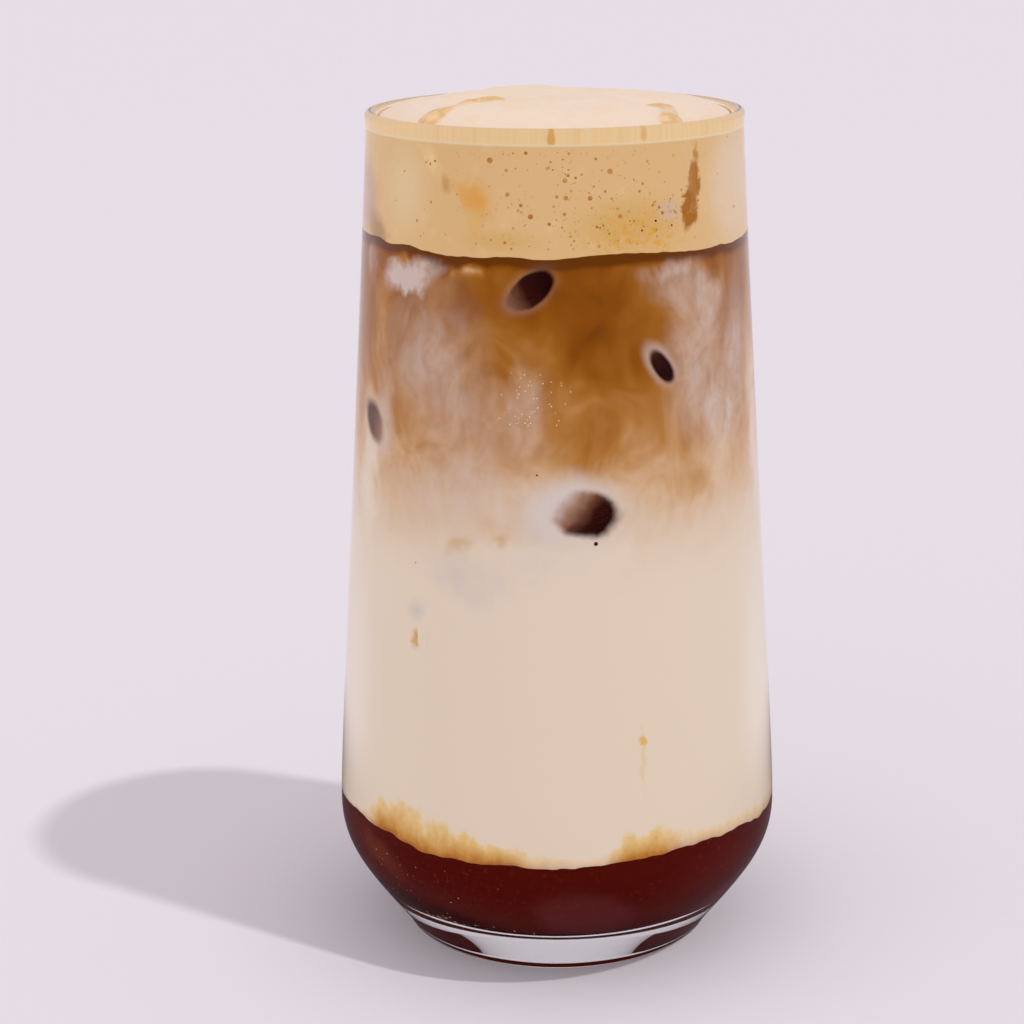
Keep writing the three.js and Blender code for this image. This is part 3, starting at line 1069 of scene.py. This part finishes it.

# %% [markdown]
# ## Dark coffee
# The coffee is nearly black. A painted light gives it a red tone at the edges and over the middle, where
# light gets in, and a painted shade darkens a band along its lower left. All round, it reaches into the
# wall, but it stays a third of a millimetre clear of the floor, as the solid does. That thin gap mirrors
# the bright table, and so the foot gets its fine bright lines. They could be painted, but they wouldn't
# move with the eye.

# %% Dark coffee
COFFEE = seen(71, 11, 5)
# Painted light at the edges and over the middle, and painted shade in the darker band along the lower left:
# (colour, strength, (degrees, mm up), (half length, half width), turn, softness)
COFFEE_LIGHT_AND_SHADE = [
    (seen(96, 38, 22), 0.8, (-55, 21), (9, 4), -25, 0.9),
    (seen(48, 3, 1), 0.9, (-38, 10.5), (17, 4.6), -14, 0.6),
    (seen(85, 30, 32), 0.8, (8, 14), (10, 7), -20, 0.5),
    (seen(80, 20, 16), 0.7, (48, 20), (14, 6), 10, 0.8),
    (seen(92, 36, 44), 0.7, (60, 12), (12, 4), 12, 0.9),
]


def coffee_material():
    material, graph, shader, _ = new_material("dark coffee", COFFEE)
    place = graph.group(PLACE)
    bent = swirled(graph, place, sideways=5, upwards=1.6, scale=0.12)
    # The coffee's own colour with its painted light and shade laid over it.
    colour = lay_spots(graph, COFFEE, bent["Angle"], bent["Height"], COFFEE_LIGHT_AND_SHADE)
    grain = graph.noise(place["Point"], 1.6, detail=3)
    colour = graph.blend(graph.fade(grain, 0.58, 0.72, 0.0, 0.35), colour, seen(120, 52, 22))
    graph.feed(shader["Base Color"], colour)
    shader["Roughness"].default_value = 0.4
    shader["Specular IOR Level"].default_value = 0
    return material


CLEAR_OF_FLOOR = 0.35  # mm by which the lowest edge stands off the glass
CLEAR_UP_TO = 2.2  # mm above that edge, where the coffee reaches fully into the wall again
BOTTOM_SHARES = (0, 0.5, 0.9)
COFFEE_ROWS = 44
COFFEE_CROWDING = 1.8  # above 1, the rows lie closer together near the floor


def add_coffee():
    low = FLOOR_HEIGHT + CLEAR_OF_FLOOR
    rings = [ring_at(FLOOR_FLAT_RADIUS * share, low) for share in BOTTOM_SHARES]
    for row in range(1, COFFEE_ROWS + 1):
        ring = []
        for angle, high in edge_of(coffee_top):
            height = low + (high - low) * (row / COFFEE_ROWS) ** COFFEE_CROWDING
            share = max(0, 1 - (height - low) / CLEAR_UP_TO)
            radius = drink_radius(height) - (CLEAR_OF_FLOOR + REACH_INTO_WALL) * share
            ring.append(place_point(radius, angle, height))
        rings.append(ring)
    rings += [surface_ring(coffee_top, share) for share in reversed(SURFACE_SHARES[:-1])]
    mesh = skin_rings("coffee_layer", rings)
    finish_object("coffee_layer", mesh, coffee_material(), ["dark_coffee"])


add_coffee()

# %% [markdown]
# ## Foam
# The cap is thick, nearly flat on top and rolled at its edge. Through the glass it is tanned by coffee,
# with stains; on top it is cream. It could be sculpted, but a formula for its top can also be asked later
# how far a piece of ice stands out of it. Two hollows let the ridges of the ice come through.

# %% Top of the foam
DOME_ROLL = 5  # the higher, the flatter the top and the tighter its edge
DOME_LEAN = 0.03  # mm by which the top sinks with every mm towards the back
FILM_TOP = 149.3  # mm up
FILM_DEPTH = 0.35
DOME_RINGS = 70
DOME_SHARES = [1 - 0.985 * (step / DOME_RINGS) ** 1.6 for step in range(DOME_RINGS + 1)]

# Low mounds and hollows on the foam: (x, y), radius, height
MOUNDS = [
    ((-14, -8), 7, -1.9),
    ((16, -11), 6, -1.4),
    ((25, -13), 3, 0.5),
    ((-3, 21), 8, 0.45),
]
BACK_RISE = 1.9  # how much higher the foam clings to the wall at the back than in front


def contact_height(y):
    """The height in mm at which the foam meets the wall: it climbs towards the back."""
    share = min(1, max(0, (y + 20) / 36))
    return FOAM_CONTACT + BACK_RISE * share * share * (3 - 2 * share)


def foam_top(x, y):
    share = min(1, math.hypot(x, y) / drink_radius(FOAM_CONTACT))
    roll = 1 - share ** DOME_ROLL
    crown = FOAM_CROWN - DOME_LEAN * y + swell(x, y, 0.25, 27, 0.6)
    fine = ripple(x, y, 0.35, 5) + ripple(x, y, 0.12, 1.6)
    for (at_x, at_y), radius, rise in MOUNDS:
        fine += rise * math.exp(-((x - at_x) ** 2 + (y - at_y) ** 2) / (0.5 * radius ** 2))
    contact = contact_height(y)
    return contact + roll * (crown - contact + fine)


print("foam at the middle:", round(foam_top(0, 0), 1), "mm")

# %% [markdown]
# Above the edge of the foam a thin film has dried on the wall, up to the rim. It belongs to the same skin:
# the rings go up the wall to the top of the film, step in by its thickness and come down again before
# they cross the dome. The rings of the dome lie closer together near its edge, where it bends most.

# %% Foam body


def foam_rings():
    contact = FOAM_CONTACT
    rings = [surface_ring(foam_underside, share) for share in SURFACE_SHARES]
    rings += wall_rings(foam_underside, lambda x, y: contact, 18)
    for height in (contact, contact + 0.5, contact + 1, contact + 1.5, FILM_TOP):
        rings.append(ring_at(drink_radius(height), height))
    for height in (FILM_TOP, contact + 1, contact + 0.4):
        rings.append(ring_at(drink_radius(height) - FILM_DEPTH, height))
    edge = drink_radius(contact) - FILM_DEPTH - 0.2
    for share in DOME_SHARES:
        ring = []
        for step in range(ROUND):
            point = place_point(edge * share, 360 * step / ROUND, 0) / MM
            ring.append(place_point(edge * share, 360 * step / ROUND, foam_top(point.x, point.y)))
        rings.append(ring)
    rings.append([place_point(0, 0, foam_top(0, 0))])
    return rings


print("foam rings:", len(foam_rings()))

# %% [markdown]
# Seen through the glass, the foam is tan, with paler and browner stains, an amber run on the right and
# golden crumbs near the bottom. The film above it is golden, with upright streaks where it ran down. The
# stains could be an image wrapped round the glass, but as soft spots they can be moved one by one.

# %% Side of the foam
FOAM_SIDE = seen(213, 172, 122)
FOAM_CREAM = seen(228, 204, 190)

# Stains of the foam and of its film, in the same columns as those of the milk
FOAM_STAINS = [
    (seen(217, 188, 160), 0.9, (66, 138), (14, 11), 90, 0.7),
    (seen(217, 187, 146), 0.8, (-50, 139), (11, 8), 90, 0.9),
    (seen(205, 158, 90), 0.85, (23, 134), (14, 6.5), 0, 0.9),
    (seen(226, 190, 142), 0.9, (-39, 144), (3.6, 2), -60, 0.9),
    (seen(186, 134, 74), 0.75, (-33.5, 140.4), (2.8, 1.3), -55, 0.9),
    (seen(214, 164, 98), 0.8, (-27.5, 139.2), (4.4, 1.8), -30, 0.9),
    (seen(214, 152, 76), 1.0, (-23.5, 138.2), (5.0, 4.0), -65, 0.9),
    (seen(212, 166, 98), 0.6, (-24, 133.6), (4.5, 2.4), 90, 0.9),
    (seen(206, 160, 96), 0.7, (-16, 131.6), (9, 2.4), 0, 0.9),
    (seen(190, 154, 130), 0.95, (-80, 136), (9, 10.5), 90, 0.6),
    (seen(160, 118, 84), 0.8, (-66, 130.6), (4.5, 6.5), 50, 0.8),
    (seen(198, 168, 150), 0.8, (35.5, 135.8), (3.4, 2.6), 0, 0.9),
    (seen(160, 97, 24), 1.0, (43.6, 136.2), (4.6, 2.3), 76, 0.35),
    (seen(168, 106, 32), 1.0, (45.4, 140.6), (3.8, 1.7), 100, 0.4),
    (seen(176, 118, 48), 0.85, (46.4, 144.6), (2.8, 0.8), 90, 0.8),
]
FILM_STAINS = [
    (seen(206, 152, 80), 0.9, (-1, 148.2), (1.6, 0.9), 90, 0.5),
    (seen(208, 158, 84), 0.7, (27, 148.4), (1.3, 0.8), 90, 0.7),
]
CRUMB_PLACE = (26, 132)
CRUMB_SIZE = (13, 5)
CRUMB_COLOUR = seen(208, 150, 48)


def side_of_foam(graph, place):
    """The foam as it is seen through the glass, with its stains and golden crumbs."""
    bent = swirled(graph, place, sideways=3.2, upwards=1.4, scale=0.3)
    colour = lay_spots(graph, FOAM_SIDE, bent["Angle"], bent["Height"], FOAM_STAINS)
    crumbs = graph.fade(graph.noise(place["Point"], 0.75, detail=5, roughness=0.7), 0.5, 0.62)
    patch = spot(graph, place["Angle"], place["Height"], CRUMB_PLACE, CRUMB_SIZE, soft=0.9)
    colour = graph.blend(graph.math("MULTIPLY", crumbs, patch), colour, CRUMB_COLOUR)
    mottle = graph.noise(graph.stretch(place["Point"], (1, 1, 0.8)), 0.3, detail=5)
    return graph.blend(graph.fade(mottle, 0.55, 0.75, 0.0, 0.35), colour, seen(223, 188, 144))


def film_on_wall(graph, place):
    """The dried film between the foam and the rim: golden, with upright streaks."""
    streaks = graph.noise(graph.stretch(place["Point"], (1, 1, 0.06)), 1.7, detail=4)
    colour = graph.blend(graph.fade(streaks, 0.3, 0.7), seen(225, 188, 140), seen(229, 194, 148))
    runs = graph.noise(graph.stretch(place["Point"], (1, 1, 0.04)), 0.5, detail=3)
    colour = graph.blend(graph.fade(runs, 0.58, 0.7, 0.0, 0.25), colour, seen(214, 166, 100))
    return lay_spots(graph, colour, place["Angle"], place["Height"], FILM_STAINS)


print("stains of the foam:", len(FOAM_STAINS))

# %% [markdown]
# The same paint goes on the foam and on the two pieces of ice that it coats. It has a side, a top, and the
# film between them. The ice brings one number of its own, `proud`: how far it stands out of the foam.
# Where that is nothing, the ice has the foam's own colour, so there is no line between them.

# %% Foam colour
INSIDE_WALL = 30.95  # mm from the axis: what lies nearer is the top of the foam, and the rest its side
TOP_FROM = (146.6, 147.1)  # mm up
FILM_FROM = (FOAM_CONTACT - 0.05, FOAM_CONTACT + 0.25)
EDGE_LINE = 0.32  # half the width in mm of the pale line where the foam meets the wall
PROUD_FROM = (-0.1, 0.5)  # mm: from foam to wet ice


def build_foam_colour():
    graph, given, out = new_group("colour of the foam", {"Proud": 0}, {"Color": "Color"})
    place = graph.group(PLACE)
    side = side_of_foam(graph, place)
    film = film_on_wall(graph, place)
    colour = graph.blend(graph.fade(place["Height"], *FILM_FROM), side, film)
    contact = graph.around(place["Height"], FOAM_CONTACT, EDGE_LINE)
    colour = graph.blend(graph.math("MULTIPLY", contact, 0.5), colour, seen(240, 216, 190))
    flat = graph.stretch(place["Point"], (1, 1, 0))
    radius = graph.add("ShaderNodeVectorMath", {0: flat}, operation="LENGTH").outputs["Value"]
    is_top = graph.math("MULTIPLY", graph.fade(radius, INSIDE_WALL, INSIDE_WALL - 0.1),
                        graph.fade(place["Height"], *TOP_FROM))
    mottle = graph.fade(graph.noise(place["Point"], 0.16, detail=5), 0.5, 0.68, 0.0, 0.7)
    cream = graph.blend(mottle, FOAM_CREAM, seen(230, 200, 172))
    lumps = graph.noise(place["Point"], 0.5, detail=4)
    coated = graph.blend(graph.fade(lumps, 0.35, 0.65), seen(212, 164, 106), seen(228, 190, 148))
    wet = graph.fade(given["Proud"], *PROUD_FROM)
    cream = graph.blend(wet, cream, coated)
    graph.feed(out["Color"], graph.blend(is_top, colour, cream))
    return graph.tree


FOAM_COLOUR = build_foam_colour()
print("foam colour group:", len(FOAM_COLOUR.nodes), "nodes")


def foam_material(name, roughness, shine):
    material, graph, shader, _ = new_material(name, FOAM_SIDE)
    proud = graph.add("ShaderNodeAttribute", attribute_name="proud").outputs["Fac"]
    graph.feed(shader["Base Color"], graph.group(FOAM_COLOUR, Proud=proud)["Color"])
    shader["Roughness"].default_value = roughness
    shader["Specular IOR Level"].default_value = shine
    return material


def add_foam():
    mesh = skin_rings("foam_cap", foam_rings())
    finish_object("foam_cap", mesh, foam_material("foam", 0.6, 0.08), ["foam"])


add_foam()

# %% [markdown]
# ## Ice
# Each piece is a block whose corners have melted round. A bevelled cube would look cut by a machine, so
# the block is a cube grid pulled onto a superellipsoid, with a slow ripple for the melting. A point that
# would poke through the glass is set back to the wall, which gives the flat touch of a real piece.

# %% Ice blocks
# Each block: degrees from the front, mm up, mm from the edge of the solid drink in to its middle, its
# size in mm and its turn in degrees
ICE = {
    "ice_top_left": (-44, 141.7, 11.2, (19, 18, 18), (42, -8, 72)),
    "ice_top_right": (44.5, 140.4, 9.7, (17, 17, 21), (-8, -6, 44)),
    "ice_front_high": (-6.5, 124, 9.1, (16, 15, 16), (48, 8, 30)),
    "ice_front_right": (31, 111, 9, (15, 15, 16), (8, 24, 42)),
    "ice_left": (-60.5, 99, 9.9, (17, 17, 18), (-8, 20, 46)),
    "ice_front_middle": (9, 86, 9.2, (18, 17, 17), (42, 14, 24)),
    "ice_front_low": (-38.8, 66.5, 10.1, (17, 17, 19), (-13, 3, 45)),
}
ICE_SQUARENESS = 4.5  # 2 gives an egg, and a higher value a boxier block
ICE_WOBBLE = 0.035  # depth of the melting, as a share of the size
ICE_CUTS = 27
ICE_CLEARANCE = 0.3  # mm between the wall and the edge of the solid drink
TOUCH_DEPTH = 0.04  # mm by which the touch of the ice stands out past the drink's own skin


def ice_mesh(name, angle, height, inset, size, turn):
    body = bmesh.new()
    bmesh.ops.create_cube(body, size=2)
    bmesh.ops.subdivide_edges(body, edges=body.edges[:], cuts=ICE_CUTS, use_grid_fill=True)
    tumble = Euler([math.radians(part) for part in (turn[0], turn[1], turn[2] + angle)]).to_matrix()
    centre = place_point(inside_radius(height) - ICE_CLEARANCE - inset, angle, height) / MM
    for vertex in body.verts:
        x, y, z = vertex.co
        power = sum(abs(part) ** ICE_SQUARENESS for part in (x, y, z))
        melt = ICE_WOBBLE * math.sin(3 * x + angle) * math.cos(2.6 * y - height) * math.sin(2.2 * z + inset)
        melt += 0.02 * noise.noise(Vector((x, y, z)) * 4 + Vector((angle, 0, height)))
        reach = (1 + melt) / power ** (1 / ICE_SQUARENESS)
        point = tumble @ Vector([part * reach * width / 2 for part, width in zip((x, y, z), size)]) + centre
        limit = drink_radius(point.z) + TOUCH_DEPTH
        flat = math.hypot(point.x, point.y)
        if flat > limit:
            point.x *= limit / flat
            point.y *= limit / flat
        vertex.co = point * MM
    bmesh.ops.recalc_face_normals(body, faces=body.faces)
    mesh = bpy.data.meshes.new(name)
    body.to_mesh(mesh)
    body.free()
    return mesh


print("blocks of ice:", len(ICE))

# %% [markdown]
# The two top pieces wear the foam's paint, and the five below wear the drink's, with the same windows. So
# a sunk block can't be told from the drink except where its window opens, which is how the real one
# looks. A clear material would show nothing but more painted drink behind it.

# %% Ice


def mark_proud(mesh):
    """Stores on each vertex how far in mm it stands out of the top of the foam."""
    values = []
    for vertex in mesh.vertices:
        x, y, z = vertex.co / MM
        values.append(z - foam_top(x, y))
    mesh.attributes.new("proud", "FLOAT", "POINT").data.foreach_set("value", values)


def add_ice():
    sunk = drink_material("sunk ice")
    coated = foam_material("ice coated with foam", 0.35, 0.4)
    for name, block in ICE.items():
        mesh = ice_mesh(name, *block)
        on_top = name.startswith("ice_top")
        if on_top:
            mark_proud(mesh)
        else:
            mark_depth(mesh, coffee_top, foam_underside)
        finish_object(name + "_block", mesh, coated if on_top else sunk, [name])


add_ice()

# %% [markdown]
# ## Bubbles
# The foam has bubbles against the glass: a dozen or so that one notices, and a dust of small ones, most of
# them in front. Painting them as dots would be quicker. Made as low lenses they also catch the light a
# little, and they keep their true size when one comes near. All bubbles of one kind are one mesh.

# %% Lenses
BUBBLE_SIDES = 10
BUBBLE_BULGE = 0.05  # mm


def add_lens(body, angle, height, radius):
    """A low round lens on the skin of the drink."""
    skin = drink_radius(height)
    middle = body.verts.new(place_point(skin + BUBBLE_BULGE, angle, height))
    rings = []
    for share, lift in ((0.6, 0.75), (1.0, 0.0)):
        ring = []
        for step in range(BUBBLE_SIDES):
            turn = 2 * math.pi * step / BUBBLE_SIDES
            across = math.degrees(radius * share * math.cos(turn) / skin)
            up = radius * share * math.sin(turn)
            depth = drink_radius(height + up) + (BUBBLE_BULGE * lift if lift else -0.02)
            ring.append(body.verts.new(place_point(depth, angle + across, height + up)))
        rings.append(ring)
    for step in range(BUBBLE_SIDES):
        after = (step + 1) % BUBBLE_SIDES
        body.faces.new((middle, rings[0][step], rings[0][after]))
        body.faces.new((rings[0][step], rings[1][step], rings[1][after], rings[0][after]))


def lens_mesh(name, places):
    body = bmesh.new()
    for angle, height, radius in places:
        add_lens(body, angle, height, radius)
    bmesh.ops.recalc_face_normals(body, faces=body.faces)
    mesh = bpy.data.meshes.new(name)
    body.to_mesh(mesh)
    body.free()
    return mesh


def plain_material(name, colour, other, scale, roughness=0.4, shine=0.0):
    """A material with one colour that drifts towards another."""
    material, graph, shader, _ = new_material(name, colour)
    drift = graph.noise(graph.group(PLACE)["Point"], scale, detail=3)
    graph.feed(shader["Base Color"], graph.blend(graph.fade(drift, 0.35, 0.65), colour, other))
    shader["Roughness"].default_value = roughness
    shader["Specular IOR Level"].default_value = shine
    return material


print("faces of a lens:", 2 * BUBBLE_SIDES)

# %% [markdown]
# The big bubbles are placed one by one. The small ones are scattered by chance with a fixed seed, thick in
# front and thin at the sides, with a cluster beside the amber run and pale ones in the clouded coffee. The
# cube of a chance value makes most of them small.

# %% Bubbles
BUBBLE_SEED = 7
SMALL_BUBBLES = 300
CLUSTER_BUBBLES = 40
MILK_BUBBLES = 46

# Each big bubble: degrees from the front, mm up, radius in mm
BIG_BUBBLES = [
    (-19.2, 144.7, 0.58),
    (3.0, 141.6, 0.46),
    (16.3, 142.9, 0.52),
    (3.2, 138.8, 0.44),
    (10.3, 138.7, 0.46),
    (-13.8, 139.3, 0.42),
    (-7.0, 135.8, 0.5),
    (-9.8, 137.6, 0.36),
    (-1.6, 134.6, 0.34),
    (19.2, 135.6, 0.42),
    (2.8, 136.2, 0.34),
    (-8.4, 146.0, 0.34),
    (33.0, 135.6, 0.34),
    (12.2, 134.0, 0.3),
]


def add_bubbles():
    chance = random.Random(BUBBLE_SEED)
    small = []
    for _ in range(SMALL_BUBBLES):
        angle = chance.gauss(6, 24)
        height = chance.uniform(130.5, 146.6)
        small.append((angle, height, 0.09 + 0.24 * chance.random() ** 3))
    for _ in range(CLUSTER_BUBBLES):
        small.append((chance.gauss(37, 4), chance.gauss(135.6, 1.8), 0.07 + 0.12 * chance.random() ** 2))
    amber = plain_material("bubble", seen(170, 106, 44), seen(196, 136, 74), 0.4)
    finish_object("foam_bubbles_big", lens_mesh("foam_bubbles_big", BIG_BUBBLES), amber)
    pale = plain_material("small bubble", seen(168, 110, 52), seen(206, 158, 104), 0.35)
    finish_object("foam_bubbles_small", lens_mesh("foam_bubbles_small", small), pale)
    milky = []
    for _ in range(MILK_BUBBLES):
        spread = chance.gauss(0, 1)
        milky.append((-7 + 4.5 * spread, chance.uniform(101.5, 110.5), 0.09 + 0.07 * chance.random()))
    white = plain_material("milk bubble", seen(226, 200, 176), seen(214, 180, 150), 0.5)
    finish_object("milk_bubbles", lens_mesh("milk_bubbles", milky), white)


add_bubbles()

# %% [markdown]
# ## Grains and painted glints
# A few dark grains of coffee hang at the glass. Golden specks in the coffee, most of them along the floor
# on the left, are painted glints: light that the thick foot of the glass gathers into bright points. They
# could be noise in the paint, but noise would put them anywhere. They are lenses like the bubbles, so they
# need no new shape.

# %% Grains and painted glints
GLINT_SEED = 11
GLINTS_ON_FLOOR = 60
GLINTS_ABOVE = 34

# Each grain: degrees from the front, mm up, radius in mm
GRAINS = [
    (10.8, 81.4, 0.42),
    (-5.1, 93.2, 0.18),
    (-41.5, 75.8, 0.14),
    (26.0, 133.0, 0.2),
    (30.6, 134.4, 0.24),
    (36.2, 133.4, 0.2),
]


def add_grains_and_glints():
    grain = plain_material("coffee grain", seen(52, 18, 10), seen(84, 38, 20), 1.0)
    finish_object("coffee_grains", lens_mesh("coffee_grains", GRAINS), grain)
    chance = random.Random(GLINT_SEED)
    glints = []
    # Painted glints: bright golden points, most of them low on the left where the foot gathers light.
    for _ in range(GLINTS_ON_FLOOR):
        angle = -44 + chance.gauss(0, 11)
        glints.append((angle, 10.2 + abs(chance.gauss(0, 0.5)), 0.06 + 0.12 * chance.random() ** 2))
    for _ in range(GLINTS_ABOVE):
        glints.append((chance.gauss(-44, 14), chance.uniform(12, 23), 0.06 + 0.06 * chance.random()))
    # The colour of the painted glints, gold drifting to amber.
    glint_paint = plain_material("painted glint", seen(225, 190, 130), seen(176, 100, 36), 0.8)
    finish_object("painted_glints", lens_mesh("painted_glints", glints), glint_paint)


add_grains_and_glints()

# %% [markdown]
# ## Floor
# A plain pale surface that runs far past the picture. The lower wall of the glass leans over it and would
# mirror it as a grey haze over the coffee, which a photographer takes away with a polarising filter. The
# floor does the same here: close to the glass, it is darker to rays that a surface has mirrored.

# %% Floor
FLOOR_COLOUR = (0.88, 0.845, 0.88, 1)
FLOOR_HALF = 3  # metres from the middle to each edge
FLOOR_GAP = 0.05  # mm under the foot, so that the two faces don't flicker
FILTERED_COLOUR = (0.16, 0.14, 0.16, 1)
FILTERED_REACH = (0.09, 0.16)  # metres from the middle


def add_floor():
    body = bmesh.new()
    bmesh.ops.create_grid(body, x_segments=8, y_segments=8, size=FLOOR_HALF)
    bmesh.ops.translate(body, verts=body.verts, vec=(0, 0, -FLOOR_GAP * MM))
    mesh = bpy.data.meshes.new("floor")
    body.to_mesh(mesh)
    body.free()
    material, graph, shader, _ = new_material("pale paper", FLOOR_COLOUR)
    flat = graph.stretch(graph.add("ShaderNodeTexCoord").outputs["Object"], (1, 1, 0))
    away = graph.add("ShaderNodeVectorMath", {0: flat}, operation="LENGTH").outputs["Value"]
    near = graph.fade(away, FILTERED_REACH[1], FILTERED_REACH[0])
    path = graph.add("ShaderNodeLightPath").outputs
    mirrored = graph.math("SUBTRACT", path["Is Reflection Ray"], path["Is Diffuse Ray"])
    mirrored = graph.math("MULTIPLY", near, graph.math("MAXIMUM", mirrored, 0.0))
    graph.feed(shader["Base Color"], graph.blend(mirrored, FLOOR_COLOUR, FILTERED_COLOUR))
    shader["Roughness"].default_value = 0.8
    shader["Specular IOR Level"].default_value = 0.1
    floor = bpy.data.objects.new("floor", mesh)
    floor.data.materials.append(material)
    bpy.context.collection.objects.link(floor)


add_floor()
print("floor:", 2 * FLOOR_HALF, "m across")

# %% [markdown]
# ## Size
# The dressed drink must keep the size of the solids.
